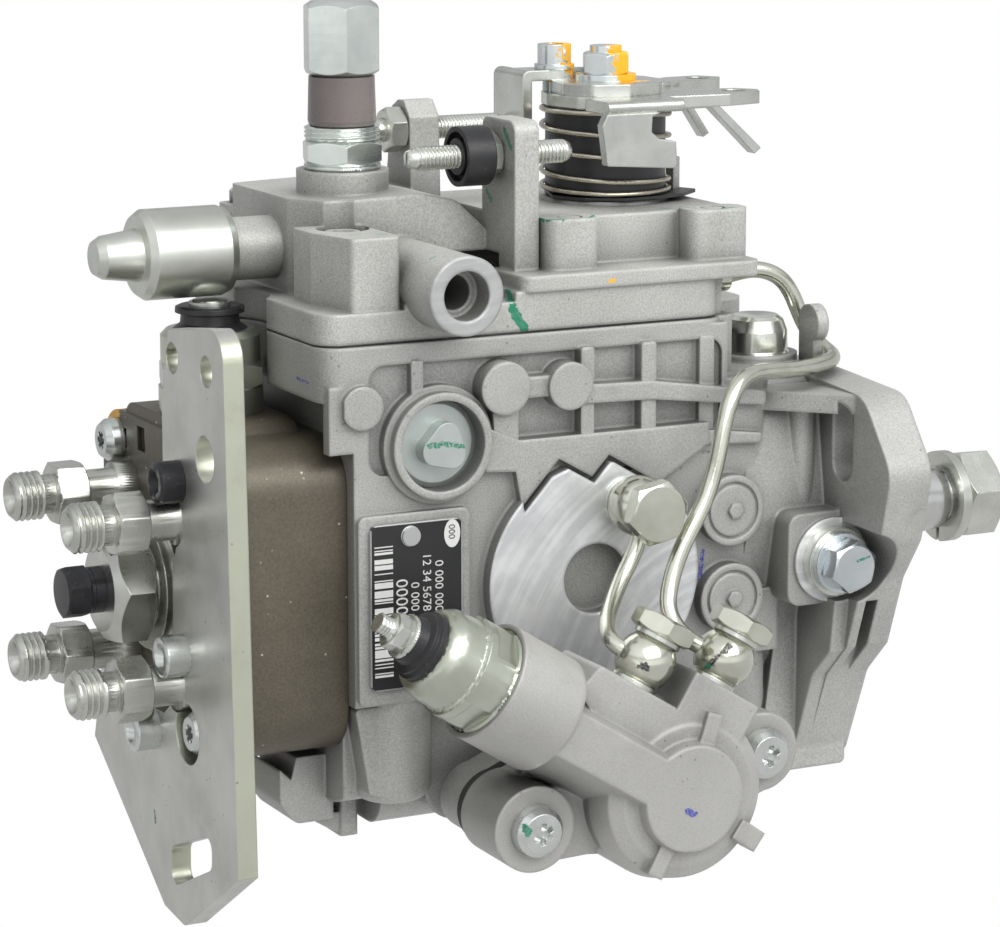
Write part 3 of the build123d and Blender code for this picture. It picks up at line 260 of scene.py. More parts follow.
def build_paint_stroke():
    """Brush mark between two points, with ragged edges and thin spots."""
    group, given, out = new_group(
        "paint_stroke",
        [("Vector", "Position", None), ("Vector", "From", (0, 0, 0)), ("Vector", "To", (0, 0, 0.001)),
         ("Float", "Width", 0.001), ("Float", "Wear", 0.3)],
        [("Float", "Mask")])
    along = vectors(group, "SUBTRACT", given["To"], given["From"])
    offset = vectors(group, "SUBTRACT", given["Position"], given["From"])
    share = maths(group, "DIVIDE", vectors(group, "DOT_PRODUCT", offset, along),
                  vectors(group, "DOT_PRODUCT", along, along))
    clamp = add(group, "Clamp")
    join(group, share, clamp.inputs[0])
    away = vectors(group, "LENGTH", vectors(
        group, "SUBTRACT", offset, vectors(group, "SCALE", along, scale=clamp.outputs[0])))
    tear = mapped(group, noise_at(group, given["Position"], 900.0, 3.0), 0.3, 0.7, -0.45, 0.45)
    ragged = maths(group, "ADD", tear, maths(group, "DIVIDE", away, given["Width"]))
    body = mapped(group, ragged, 0.9, 1.05, 1.0, 0.0)
    thin = mapped(group, noise_at(group, given["Position"], 1900.0, 2.0), 0.42, 0.62)
    worn = maths(group, "SUBTRACT", 1.0, maths(group, "MULTIPLY", thin, given["Wear"]))
    join(group, maths(group, "MULTIPLY", body, worn), out["Mask"])
    return group


def build_cut_face():
    """Machined flat face round a centre: where it is, its curved cutter marks and its pale patches."""
    group, given, out = new_group(
        "cut_face",
        [("Vector", "Position", None), ("Vector", "Centre", (0, 0, 0)),
         ("Vector", "Swirl Centre", (0, 0, 0)), ("Vector", "Facing", (0, -1, 0)),
         ("Float", "Radius", 0.03)],
        [("Float", "Zone"), ("Float", "Marks"), ("Float", "Patches")])
    offset = vectors(group, "SUBTRACT", given["Position"], given["Centre"])
    height = vectors(group, "DOT_PRODUCT", offset, given["Facing"])
    flat = vectors(group, "SUBTRACT", offset, vectors(group, "SCALE", given["Facing"], scale=height))
    near = mapped(group, maths(group, "ABSOLUTE", height), 0.00018, 0.0003, 1.0, 0.0)
    inside = maths(group, "LESS_THAN", vectors(group, "LENGTH", flat), given["Radius"])
    join(group, maths(group, "MULTIPLY", near, inside), out["Zone"])
    spin = vectors(group, "SUBTRACT", given["Position"], given["Swirl Centre"])
    reach = vectors(group, "LENGTH", spin)
    unit = vectors(group, "NORMALIZE", spin)
    ring = add(group, "CombineXYZ")
    join(group, maths(group, "MULTIPLY", reach, 1500.0), ring.inputs[0])
    fine_place = vectors(group, "ADD", vectors(group, "SCALE", unit, scale=3.0), ring.outputs[0])
    marks = noise_at(group, fine_place, 1.0, 2.0)
    wide = add(group, "CombineXYZ")
    join(group, maths(group, "MULTIPLY", reach, 420.0), wide.inputs[0])
    wide_place = vectors(group, "ADD", vectors(group, "SCALE", unit, scale=2.2), wide.outputs[0])
    patches = noise_at(group, wide_place, 1.0, 2.0)
    join(group, marks, out["Marks"])
    broad = noise_at(group, given["Position"], 120.0, 3.0, 0.6)
    curved_share = maths(group, "MULTIPLY", patches, 0.6)
    broad_share = maths(group, "MULTIPLY", broad, 0.4)
    join(group, maths(group, "ADD", curved_share, broad_share), out["Patches"])
    return group


cast_skin = build_cast_skin()
tool_lines = build_tool_lines()
stains = build_stains()
paint_stroke = build_paint_stroke()
cut_face = build_cut_face()


def use_group(tree, group, position, **values):
    node = tree.nodes.new("ShaderNodeGroup")
    node.node_tree = group
    join(tree, position, node.inputs["Position"])
    for label, value in values.items():
        node.inputs[label.replace("_", " ")].default_value = value
    return node


def start_material(name):
    material = bpy.data.materials.new(name)
    material.use_nodes = True
    tree = material.node_tree
    tree.nodes.clear()
    output = tree.nodes.new("ShaderNodeOutputMaterial")
    surface = tree.nodes.new("ShaderNodeBsdfPrincipled")
    join(tree, surface.outputs[0], output.inputs["Surface"])
    place = tree.nodes.new("ShaderNodeTexCoord")
    return material, tree, surface, place.outputs["Object"]


def edge_mask(tree, bevel):
    """Bright where the rounded normal leaves the flat one."""
    flat = tree.nodes.new("ShaderNodeNewGeometry")
    return mapped(tree, vectors(tree, "DOT_PRODUCT", bevel.outputs[0], flat.outputs["Normal"]), 0.995, 0.86)


def scaled_point(point):
    return tuple(value * MM for value in point)


def paint_over(tree, place, colour, rough, metal, marks):
    """Paint strokes, each as (from, to, half width in mm, paint, wear), over the bare finish."""
    for begin, finish, width, paint, wear in marks:
        stroke = use_group(tree, paint_stroke, place, From=scaled_point(begin), To=scaled_point(finish),
                           Width=width * MM, Wear=wear).outputs["Mask"]
        colour = blend_colours(tree, stroke, colour, paint)
        rough = blend_values(tree, stroke, rough, 0.35)
        metal = blend_values(tree, stroke, metal, 0.0)
    return colour, rough, metal


def finish_surface(tree, surface, colour, rough, metal, height, depth, bevel, strength=0.8):
    for slot, value in (("Base Color", colour), ("Roughness", rough), ("Metallic", metal)):
        feed(tree, surface.inputs[slot], value)
    bump = add(tree, "Bump", inputs={"Strength": strength, "Distance": depth})
    join(tree, height, bump.inputs["Height"])
    join(tree, bevel.outputs[0], bump.inputs["Normal"])
    join(tree, bump.outputs[0], surface.inputs["Normal"])


def cast_material(name, low, high, rough=0.5, metal=0.35, grain=0.42, depth=0.00012, edge=1.3,
                  stain=0.35, stain_colour=(0.17, 0.155, 0.13, 1), pit=0.3, contrast=0.17, bright=0.3,
                  speck=0.5, speck_colour=(0.08, 0.075, 0.07, 1), marks=(), faces=(),
                  cut_low=(0.60, 0.61, 0.62, 1), cut_high=(0.80, 0.81, 0.81, 1)):
    """Cast metal, with painted shade darkening its crevices. A face is (centre, swirl centre, facing,
    radius in mm).
    """
    material, tree, surface, place = start_material(name)
    skin = use_group(tree, cast_skin, place, Grain_Size=grain, Pit_Amount=pit)
    dirt = use_group(tree, stains, place, Amount=stain, Speck_Amount=speck)
    bevel = add(tree, "Bevel", samples=6, inputs={"Radius": edge * MM})
    colour = blend_colours(tree, mapped(tree, skin.outputs["Blotch"], 0.32, 0.68), low, high)
    tint = mapped(tree, skin.outputs["Grain"], 0.3, 0.7, 1.0 - contrast, 1.0 + contrast)
    colour = shaded(tree, colour, tint)
    # Painted shade: colour darkened in crevices and recesses by ambient occlusion; it also stands for grime
    # gathered there.
    crevice_shade_and_grime = add(tree, "AmbientOcclusion", samples=6, inputs={"Distance": 0.011})
    colour = shaded(tree, colour, mapped(tree, crevice_shade_and_grime.outputs["AO"], 0.25, 0.95, 0.42, 1.0))
    # Colour lighter along the rounded edges, towards a brighter tone of the casting.
    worn = maths(tree, "MULTIPLY", edge_mask(tree, bevel), bright)
    colour = blend_colours(tree, worn, colour, tuple(min(1.0, value * 1.45) for value in high[:3]) + (1,))
    colour = blend_colours(tree, dirt.outputs["Stain"], colour, stain_colour)
    colour = blend_colours(tree, dirt.outputs["Specks"], colour, speck_colour)
    roughness = mapped(tree, skin.outputs["Blotch"], 0.3, 0.7, rough - 0.06, rough + 0.06)
    metallic = metal
    height = skin.outputs["Height"]
    for centre, swirl, facing, radius in faces:
        cut = use_group(tree, cut_face, place, Centre=scaled_point(centre),
                        Swirl_Centre=scaled_point(swirl), Facing=facing, Radius=radius * MM)
        zone = cut.outputs["Zone"]
        bare = blend_colours(tree, mapped(tree, cut.outputs["Patches"], 0.42, 0.58), cut_low, cut_high)
        colour = blend_colours(tree, zone, colour, bare)
        cut_roughness = mapped(tree, cut.outputs["Patches"], 0.4, 0.6, 0.46, 0.34)
        roughness = blend_values(tree, zone, roughness, cut_roughness)
        metallic = blend_values(tree, zone, metallic, 0.6)
        height = blend_values(tree, zone, height, maths(tree, "MULTIPLY", cut.outputs["Marks"], 0.3))
    colour, roughness, metallic = paint_over(tree, place, colour, roughness, metallic, marks)
    finish_surface(tree, surface, colour, roughness, metallic, height, depth, bevel)
    return material


def metal_material(name, low, high, rough=0.28, metal=0.95, lines=(220.0, 60.0, 60.0), depth=0.000004,
                   edge=0.35, stain=0.22, stain_colour=(0.2, 0.19, 0.14, 1), scratch=0.09, speck=0.12,
                   speck_colour=(0.10, 0.10, 0.08, 1), marks=(), side_tint=None):
    """Plated or turned metal. side_tint is (facing, colour) for punched edges."""
    material, tree, surface, place = start_material(name)
    cuts = use_group(tree, tool_lines, place, Line_Scale=lines)
    dirt = use_group(tree, stains, place, Amount=stain, Speck_Amount=speck)
    bevel = add(tree, "Bevel", samples=6, inputs={"Radius": edge * MM})
    colour = blend_colours(tree, mapped(tree, cuts.outputs["Smudge"], 0.32, 0.68), low, high)
    if side_tint:
        flat = tree.nodes.new("ShaderNodeNewGeometry")
        turned = maths(tree, "ABSOLUTE", vectors(tree, "DOT_PRODUCT", flat.outputs["Normal"], side_tint[0]))
        colour = blend_colours(tree, mapped(tree, turned, 0.5, 0.8), colour, side_tint[1])
    colour = blend_colours(tree, maths(tree, "MULTIPLY", cuts.outputs["Scratches"], scratch), colour,
                           (0.93, 0.93, 0.9, 1))
    colour = blend_colours(tree, dirt.outputs["Stain"], colour, stain_colour)
    colour = blend_colours(tree, dirt.outputs["Specks"], colour, speck_colour)
    roughness = mapped(tree, cuts.outputs["Lines"], 0.25, 0.75, rough - 0.05, rough + 0.07)
    colour, roughness, metallic = paint_over(tree, place, colour, roughness, metal, marks)
    finish_surface(tree, surface, colour, roughness, metallic, cuts.outputs["Lines"], depth, bevel, 0.6)
    return material


def plastic_material(name, low, high, rough, coat=0.0):
    material, tree, surface, place = start_material(name)
    skin = use_group(tree, cast_skin, place, Grain_Size=0.5, Pit_Amount=0.05)
    dirt = use_group(tree, stains, place, Amount=0.2, Speck_Amount=0.15)
    bevel = add(tree, "Bevel", samples=6, inputs={"Radius": 0.3 * MM})
    colour = blend_colours(tree, mapped(tree, skin.outputs["Blotch"], 0.3, 0.7), low, high)
    colour = blend_colours(tree, dirt.outputs["Stain"], colour, (0.3, 0.29, 0.27, 1))
    colour = blend_colours(tree, dirt.outputs["Specks"], colour, (0.42, 0.41, 0.38, 1))
    roughness = mapped(tree, skin.outputs["Grain"], 0.3, 0.7, rough - 0.05, rough + 0.08)
    surface.inputs["Coat Weight"].default_value = coat
    finish_surface(tree, surface, colour, roughness, 0.0, skin.outputs["Height"], 0.00002, bevel, 0.6)
    return material


def label_material():
    """Black film with a pale rim, a column of plain bars, a pale badge and the steel rivet."""
    material, tree, surface, place = start_material("label_film")
    bevel = add(tree, "Bevel", samples=6, inputs={"Radius": 0.2 * MM})
    parts = add(tree, "SeparateXYZ")
    join(tree, place, parts.inputs[0])
    x, z = parts.outputs["X"], parts.outputs["Z"]
    skin = use_group(tree, cast_skin, place, Grain_Size=0.5, Pit_Amount=0.05)
    film = blend_colours(tree, mapped(tree, skin.outputs["Blotch"], 0.3, 0.7), (0.012, 0.012, 0.013, 1),
                         (0.022, 0.022, 0.023, 1))
    across = within(tree, x, bars_x, bars_half_width)
    down = within(tree, z, bars_z, bars_half_height)
    row = maths(tree, "FLOOR", maths(tree, "DIVIDE", z, bar_step * MM))
    chance = add(tree, "TexWhiteNoise", noise_dimensions="1D")
    join(tree, row, chance.inputs["W"])
    bars = maths(tree, "GREATER_THAN", chance.outputs["Value"], 0.42)
    bars = maths(tree, "MULTIPLY", bars, maths(tree, "MULTIPLY", across, down))
    colour = blend_colours(tree, bars, film, pale_print)
    inside = maths(tree, "MULTIPLY", within(tree, x, label_middle_x, label_half_width),
                   within(tree, z, label_middle_z, label_half_height))
    rim = maths(tree, "SUBTRACT", 1.0, inside)
    from_badge = vectors(tree, "SUBTRACT", place, scaled_point(badge_centre))
    from_badge = vectors(tree, "LENGTH", vectors(tree, "MULTIPLY", from_badge, badge_squash))
    badge = maths(tree, "LESS_THAN", from_badge, badge_half_width * MM)
    colour = blend_colours(tree, badge, colour, pale_print)
    from_rivet = vectors(tree, "DISTANCE", place, scaled_point(rivet_centre))
    rivet = maths(tree, "LESS_THAN", from_rivet, rivet_radius * MM)
    bare = maths(tree, "MAXIMUM", rim, rivet)
    colour = blend_colours(tree, bare, colour, (0.62, 0.63, 0.62, 1))
    metallic = maths(tree, "MULTIPLY", bare, 0.9)
    finish_surface(tree, surface, colour, 0.3, metallic, skin.outputs["Height"], 0.00001, bevel, 0.5)
    return material


housing_marks = [
    ((-45.8, -42.0, 3.5), (-46.6, -42.0, -4.0), 0.55, blue, 0.9),
    ((-147.5, -26.7, 52.2), (-147.5, -33.2, 52.0), 0.35, blue, 0.8),
    ((-68.0, -42.0, 26.3), (-66.4, -42.0, 25.9), 0.6, black, 0.1),
]
cover_marks = [
    ((-97.1, -36.0, 71.4), (-97.3, -38.2, 68.7), 1.15, green, 0.1),
    ((-97.3, -38.2, 68.7), (-97.9, -41.0, 67.4), 1.15, green, 0.1),
    ((-97.9, -41.0, 67.4), (-94.6, -41.0, 61.8), 1.15, green, 0.15),
    ((-122.0, -46.0, 81.4), (-112.6, -50.0, 81.6), 0.45, green, 0.6),
    ((-136.0, -32.4, 86.0), (-133.8, -32.8, 86.0), 0.35, green, 0.7),
    ((-129.6, -33.9, 86.0), (-127.9, -34.5, 86.0), 0.6, green, 0.3),
    ((-99.4, 20.6, 110.6), (-99.6, 22.4, 107.6), 0.9, green, 0.5),
    ((-93.0, -17.6, 92.3), (-93.0, -19.8, 90.4), 0.7, green, 0.5),
    ((-93.0, -26.7, 108.2), (-93.0, -30.4, 104.0), 0.7, green, 0.3),
    ((-86.3, -28.4, 90.0), (-86.0, -33.5, 86.6), 0.7, green, 0.2),
    ((-85.8, -35.2, 86.8), (-82.6, -37.0, 87.0), 0.55, green, 0.3),
    ((-75.0, -36.6, 87.0), (-70.6, -31.6, 86.8), 0.5, green, 0.4),
    ((-48.2, -24.0, 86.3), (-43.7, -32.4, 87.0), 0.55, green, 0.6),
    ((-38.6, -36.4, 86.9), (-34.2, -35.2, 87.0), 0.55, green, 0.3),
    ((-72.2, -42.0, 72.2), (-71.2, -42.0, 72.3), 0.55, yellow, 0.3),
]
timing_marks = [((-75.4, -87.4, -47.2), (-73.6, -87.4, -48.0), 0.75, blue, 0.5)]

looks = {
    "housing": cast_material(
        "cast_housing", (0.375, 0.375, 0.36, 1), (0.455, 0.455, 0.435, 1),
        marks=housing_marks,
        faces=[(face_centre, (-38.0, -46.0, -30.0), (0, -1, 0), 28.6),
               ((-14.5, -52.0, 0.0), (-14.5, -52.0, 60.0), (0, -1, 0), 10.7)]),
    "cover": cast_material(
        "cast_cover", (0.435, 0.435, 0.41, 1), (0.53, 0.53, 0.505, 1), contrast=0.19, marks=cover_marks,
        cut_low=(0.44, 0.45, 0.44, 1), cut_high=(0.52, 0.53, 0.52, 1),
        faces=[((-116.9, -55.0, 73.3), (-116.9, -55.0, 130.0), (0, -1, 0), 9.5)]),
    "timing": cast_material(
        "cast_timing_cover", (0.385, 0.38, 0.365, 1), (0.45, 0.445, 0.425, 1), rough=0.46, depth=0.00005,
        contrast=0.09, grain=0.36, marks=timing_marks),
    "head": cast_material(
        "head_phosphate", (0.105, 0.092, 0.068, 1), (0.140, 0.122, 0.090, 1), rough=0.40, metal=0.35,
        grain=0.6, depth=0.00006, edge=0.7, stain=0.5, stain_colour=(0.065, 0.058, 0.045, 1), pit=0.2,
        contrast=0.15, bright=0.2, speck=1.0, speck_colour=(0.62, 0.60, 0.56, 1),
        marks=[((-172.0, 34.0, 33.0), (-172.0, 28.4, 37.4), 2.0, yellow, 0.1)]),
    "zinc": metal_material("zinc_plate", (0.58, 0.59, 0.54, 1), (0.74, 0.75, 0.70, 1), rough=0.25),
    "outlet": metal_material(
        "outlet_zinc", (0.50, 0.505, 0.465, 1), (0.66, 0.665, 0.62, 1), rough=0.28, speck=0.25,
        lines=(160.0, 60.0, 60.0), depth=0.000003),
    "zinc_upright": metal_material(
        "zinc_plate_upright", (0.64, 0.68, 0.65, 1), (0.80, 0.84, 0.80, 1), rough=0.22,
        lines=(50.0, 50.0, 900.0)),
    "plate": metal_material(
        "zinc_sheet", (0.56, 0.56, 0.53, 1), (0.65, 0.65, 0.62, 1), rough=0.36, metal=0.85,
        lines=(60.0, 320.0, 60.0), depth=0.00001, stain=0.35, speck=0.55, scratch=0.1, edge=0.5,
        side_tint=((0, 1, 0), (0.56, 0.58, 0.47, 1)),
        marks=[((-177.0, -5.2, -55.6), (-177.0, -5.5, -57.8), 0.6, green, 0.4)]),
    "steel": metal_material("turned_steel", (0.52, 0.52, 0.52, 1), (0.68, 0.68, 0.67, 1), rough=0.22),
    "pipe": metal_material("pipe_zinc", (0.58, 0.585, 0.50, 1), (0.74, 0.745, 0.65, 1), rough=0.16,
                           lines=(120.0, 120.0, 120.0), speck=0.3,
                           marks=[((-86.6, -81.0, -12.2), (-84.0, -81.6, -12.6), 1.1, black, 0.25),
                                  ((-66.0, -78.3, -16.0), (-60.8, -80.6, -10.4), 0.9, black, 0.4),
                                  ((-67.4, -77.6, -15.6), (-65.0, -78.6, -15.2), 0.7, green, 0.3),
                                  ((-70.4, -66.6, -5.6), (-69.0, -69.4, -8.2), 0.9, red, 0.2),
                                  ((-66.0, -72.0, -11.4), (-64.6, -73.6, -12.0), 0.8, red, 0.3)]),
    "cap": metal_material(
        "tamper_cap", (0.57, 0.585, 0.535, 1), (0.68, 0.695, 0.64, 1), rough=0.34, stain=0.12,
        speck=0.05, scratch=0.08, lines=(60.0, 60.0, 60.0)),
    "can": metal_material(
        "solenoid_can", (0.52, 0.545, 0.465, 1), (0.63, 0.655, 0.565, 1), rough=0.3, stain=0.2,
        lines=(60.0, 60.0, 60.0)),
    "drawn": metal_material("drawn_cap", (0.66, 0.67, 0.61, 1), (0.80, 0.81, 0.75, 1), rough=0.16,
                            lines=(60.0, 60.0, 500.0), depth=0.00003),
    "inner": metal_material("inner_steel", (0.42, 0.42, 0.42, 1), (0.56, 0.56, 0.55, 1), rough=0.3),
    "wire": metal_material("spring_wire", (0.38, 0.34, 0.27, 1), (0.58, 0.54, 0.45, 1), rough=0.24,
                           lines=(200.0, 200.0, 200.0)),
    "lever_zinc": metal_material(
        "lever_zinc", (0.56, 0.575, 0.535, 1), (0.72, 0.73, 0.69, 1), rough=0.25, edge=0.5, stain=0.3,
        lines=(120.0, 120.0, 120.0)),
    "lever_bolts": metal_material(
        "lever_bolt_zinc", (0.60, 0.64, 0.64, 1), (0.76, 0.80, 0.80, 1), rough=0.24, edge=0.4,
        marks=[((-59.4, 6.5, 124.6), (-59.4, 6.5, 117.0), 3.9, yellow, 0.02),
               ((-47.6, -3.6, 124.0), (-47.0, -4.8, 116.6), 4.6, yellow, 0.02),
               ((-50.0, -7.4, 116.4), (-44.6, -7.2, 116.2), 1.6, yellow, 0.05)]),
    "lever_top": metal_material(
        "lever_top_plates", (0.57, 0.585, 0.55, 1), (0.73, 0.74, 0.70, 1), rough=0.25, edge=0.5,
        lines=(120.0, 120.0, 120.0),
        marks=[((-59.4, 1.2, 118.4), (-57.6, 3.6, 118.4), 2.2, yellow, 0.2),
               ((-49.6, -7.6, 117.4), (-43.8, -6.8, 117.4), 1.8, yellow, 0.05)]),
    "terminal": metal_material(
        "terminal_zinc", (0.58, 0.59, 0.55, 1), (0.72, 0.73, 0.69, 1), rough=0.26, edge=0.12, stain=0.1,
        speck=0.05, scratch=0.04),
    "screws": metal_material(
        "screw_zinc", (0.60, 0.625, 0.61, 1), (0.76, 0.78, 0.76, 1), rough=0.27,
        marks=[((-115.4, -79.8, -46.6), (-114.0, -80.4, -48.8), 0.9, green, 0.2)]),
    "lock": metal_material(
        "lock_bolt_zinc", (0.60, 0.64, 0.66, 1), (0.76, 0.80, 0.82, 1), rough=0.24,
        marks=[((-13.9, -62.8, 1.7), (-10.6, -62.8, 2.4), 0.4, green, 0.5)]),
    "plug": metal_material(
        "side_plug_metal", (0.46, 0.50, 0.48, 1), (0.58, 0.62, 0.60, 1), rough=0.38, metal=0.7,
        marks=[((-122.4, -45.8, 37.0), (-118.6, -45.8, 37.2), 0.7, green, 0.7),
               ((-117.6, -45.8, 37.0), (-112.6, -45.8, 36.0), 0.65, green, 0.8)]),
    "black_steel": metal_material(
        "black_steel", (0.022, 0.022, 0.026, 1), (0.055, 0.055, 0.06, 1), rough=0.34, metal=0.6,
        stain=0.15, scratch=0.1, speck=0.6, speck_colour=(0.5, 0.5, 0.5, 1)),
    "plastic": plastic_material(
        "black_plastic", (0.010, 0.010, 0.011, 1), (0.022, 0.022, 0.024, 1), rough=0.36),
    "rubber": plastic_material(
        "black_rubber", (0.012, 0.012, 0.012, 1), (0.026, 0.025, 0.024, 1), rough=0.55),
    "sleeve": plastic_material(
        "shrink_sleeve", (0.145, 0.12, 0.115, 1), (0.22, 0.195, 0.185, 1), rough=0.3, coat=0.25),
    "label": label_material(),
}

# Nodes by finish; all others are zinc plated
nodes_by_look = {
    "housing": ["pump_housing"],
    "cover": ["governor_cover"],
    "timing": ["timing_cover", "timing_end_cover"],
    "head": ["distributor_head"],
    "rubber": ["cover_gasket", "shaft_seal", "timing_cover_spacer"],
    "plate": ["rear_bracket"],
    "black_steel": ["head_vent_screw"],
    "plastic": ["solenoid_insulators", "lever_drum", "lever_base_disc", "speed_stop_collar"],
    "cap": ["full_load_cap"],
    "sleeve": ["top_union_sleeve"],
    "label": ["label_plate"],
    "wire": ["lever_return_spring"],
    "zinc_upright": ["top_union", "top_union_lock_nut", "top_union_cap_nut"],
    "can": ["stop_solenoid", "cold_start_solenoid"],
    "pipe": ["short_pipe", "long_pipe", "banjo_bolts"],
    "steel": ["drive_shaft"],
    "outlet": ["head_centre_plug", "delivery_valve_holders"],
    "drawn": ["valve_cap"],
    "lever_zinc": ["control_lever", "seal_clip"],
    "lever_top": ["lever_stop_plates"],
    "lever_bolts": ["lever_fasteners", "lever_shaft"],
    "plug": ["side_plug"],
    "lock": ["shaft_lock_bolt"],
    "screws": ["timing_cover_screws", "head_screws"],
    "inner": ["feed_pump_rotor", "cam_plate_and_plunger", "roller_ring", "timing_piston",
              "control_spool", "governor_cage", "governor_sleeve", "governor_lever", "flyweight_upper",
              "flyweight_lower", "delivery_valves", "stop_solenoid_plunger", "cold_start_plunger"],
}
node_looks = {node: look for look, members in nodes_by_look.items() for node in members}
for name, thing in nodes.items():
    thing.data.materials.clear()
    thing.data.materials.append(looks[node_looks.get(name, "zinc")])


# Pieces shaped further than the plain solids
def choose_only(thing):
    bpy.ops.object.select_all(action="DESELECT")
    thing.select_set(True)
    bpy.context.view_layer.objects.active = thing


def node_copy(name, new_name):
    """Separate copy of a node's mesh with its loose triangles merged."""
    source = nodes[name]
    piece = bpy.data.objects.new(new_name, source.data.copy())
    piece.data.name = new_name
    bpy.context.scene.collection.objects.link(piece)
    choose_only(piece)
    bpy.ops.object.mode_set(mode="EDIT")
    bpy.ops.mesh.select_all(action="SELECT")
    bpy.ops.mesh.remove_doubles(threshold=0.000002)
    bpy.ops.object.mode_set(mode="OBJECT")
    return piece


def cut_away(piece, cutter):
    """Boolean difference, applied; the cutter is removed."""
    choose_only(piece)
    change = piece.modifiers.new("cut", "BOOLEAN")
    change.operation = "DIFFERENCE"
    change.solver = "EXACT"
    change.object = cutter
    bpy.ops.object.modifier_apply(modifier="cut")
    bpy.data.objects.remove(cutter)


def bake_place():
    """Apply the active object's place, turn and scale to its mesh."""
    bpy.ops.object.transform_apply(location=True, rotation=True, scale=True)


def thread_cutter(start, length, radius, pitch, depth, turn=0.0, steps=24, lean=0.0):
    """Helical V groove along X from the start point, in millimetres; lean turns it about Y."""
    half = 0.47 * pitch * MM
    over = 0.12
    bpy.ops.mesh.primitive_circle_add(
        vertices=3, radius=1.0, fill_type="NGON", location=scaled_point(start))
    cutter = bpy.context.object
    tip = (radius - depth) * MM
    top = (radius + over) * MM
    corners = ((0.0, 0.0, tip), (half, 0.0, top), (-half, 0.0, top))
    bpy.ops.object.mode_set(mode="EDIT")
    for index, corner in enumerate(corners):
        bpy.ops.mesh.select_all(action="DESELECT")
        bpy.ops.object.mode_set(mode="OBJECT")
        vertex = cutter.data.vertices[index]
        vertex.select = True
        move = Vector(corner) - vertex.co
        bpy.ops.object.mode_set(mode="EDIT")
        bpy.ops.transform.translate(value=move)
    bpy.ops.object.mode_set(mode="OBJECT")
    turns = max(1, int(length / pitch))
    screw = cutter.modifiers.new("turns", "SCREW")
    screw.axis = "X"
    screw.angle = 2 * pi
    screw.steps = steps
    screw.render_steps = steps
    screw.iterations = turns
    screw.screw_offset = pitch * MM
    bpy.ops.object.modifier_apply(modifier="turns")
    bpy.ops.object.mode_set(mode="EDIT")
    bpy.ops.mesh.select_all(action="SELECT")
    bpy.ops.mesh.remove_doubles(threshold=0.000001)
    bpy.ops.mesh.fill_holes(sides=0)
    bpy.ops.mesh.select_all(action="SELECT")
    bpy.ops.mesh.normals_make_consistent(inside=False)
    bpy.ops.object.mode_set(mode="OBJECT")
    choose_only(cutter)
    if turn:
        bpy.ops.transform.rotate(value=turn, orient_axis="X", center_override=cutter.location)
        bpy.ops.object.transform_apply(location=False, rotation=True, scale=False)
    cutter.rotation_euler = (0.0, lean, 0.0)
    bake_place()
    return cutter


def settle(piece, node, body, material, sharp_angle=32):
    """Give the finished copy its finish, its body and its place in the tree."""
    piece.data.materials.clear()
    piece.data.materials.append(looks[material])
    choose_only(piece)
    bpy.ops.object.shade_smooth_by_angle(angle=radians(sharp_angle))
    even = piece.modifiers.new("even_shading", "WEIGHTED_NORMAL")
    even.keep_sharp = True
    even.weight = 90
    bpy.ops.object.modifier_apply(modifier="even_shading")
    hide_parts(node)
    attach(piece, body)


outlets = node_copy("delivery_valve_holders", "threaded_outlets")
for y in (outlet_pitch, -outlet_pitch):
    for z in (outlet_pitch, -outlet_pitch):
        groove = thread_cutter(
            (-202.0, y, z), length=7.0, radius=5.95, pitch=1.5, depth=0.75, turn=0.3 * y + z)
        cut_away(outlets, groove)
settle(outlets, "delivery_valve_holders", "pump", "outlet")

stop_screws = node_copy("adjusting_screws", "threaded_stop_screws")
for start, length in (((-114.2, -22.0, 101.6), 40.5), ((-100.0, 15.0, 104.6), 27.0)):
    groove = thread_cutter(start, length, radius=2.9, pitch=1.0, depth=0.5, steps=16)
    cut_away(stop_screws, groove)
settle(stop_screws, "adjusting_screws", "pump", "zinc")

shaft = node_copy("drive_shaft", "threaded_drive_shaft")
cut_away(shaft, thread_cutter((50.6, 0.0, 0.0), length=17.0, radius=7.0, pitch=1.5, depth=0.8))
settle(shaft, "drive_shaft", "drive_shaft", "steel")

# Boss of the full-load screw, carried up to the capsule
bpy.ops.mesh.primitive_cylinder_add(
    vertices=64, radius=full_load_boss_radius * MM, depth=full_load_boss_length * MM,
    location=scaled_point((full_load_boss_x, *full_load_axis)))
boss = bpy.context.object
boss.name = "full_load_boss"
bpy.ops.transform.rotate(value=pi / 2, orient_axis="Y", center_override=boss.location)
bake_place()
boss.data.materials.append(looks["cover"])
bpy.ops.object.shade_smooth_by_angle(angle=radians(32))
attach(boss, "pump")

# Cover screws: the two near ones are sunk flush with their pads
cover_screws = node_copy("cover_screws", "flush_cover_screws")
for x in near_screw_places:
    bpy.ops.mesh.primitive_cube_add(
        size=screw_cut_size * MM,
        location=scaled_point((x, near_screw_y, screw_cut_z + screw_cut_size / 2)))
    block = bpy.context.object
    bake_place()
    cut_away(cover_screws, block)
settle(cover_screws, "cover_screws", "pump", "cover")

# Smooth drum of the lever, and its return spring with uneven turns
bpy.ops.mesh.primitive_cylinder_add(
    vertices=96, radius=drum_radius * MM, depth=drum_height * MM,
    location=scaled_point((lever_x, 0.0, drum_middle_z)))
drum = bpy.context.object
drum.name = "smooth_lever_drum"
bpy.ops.object.mode_set(mode="EDIT")
bpy.ops.mesh.select_all(action="SELECT")
bpy.ops.mesh.bevel(offset=0.4 * MM, segments=2)
bpy.ops.object.mode_set(mode="OBJECT")
bake_place()
settle(drum, "lever_drum", "control_lever", "plastic")

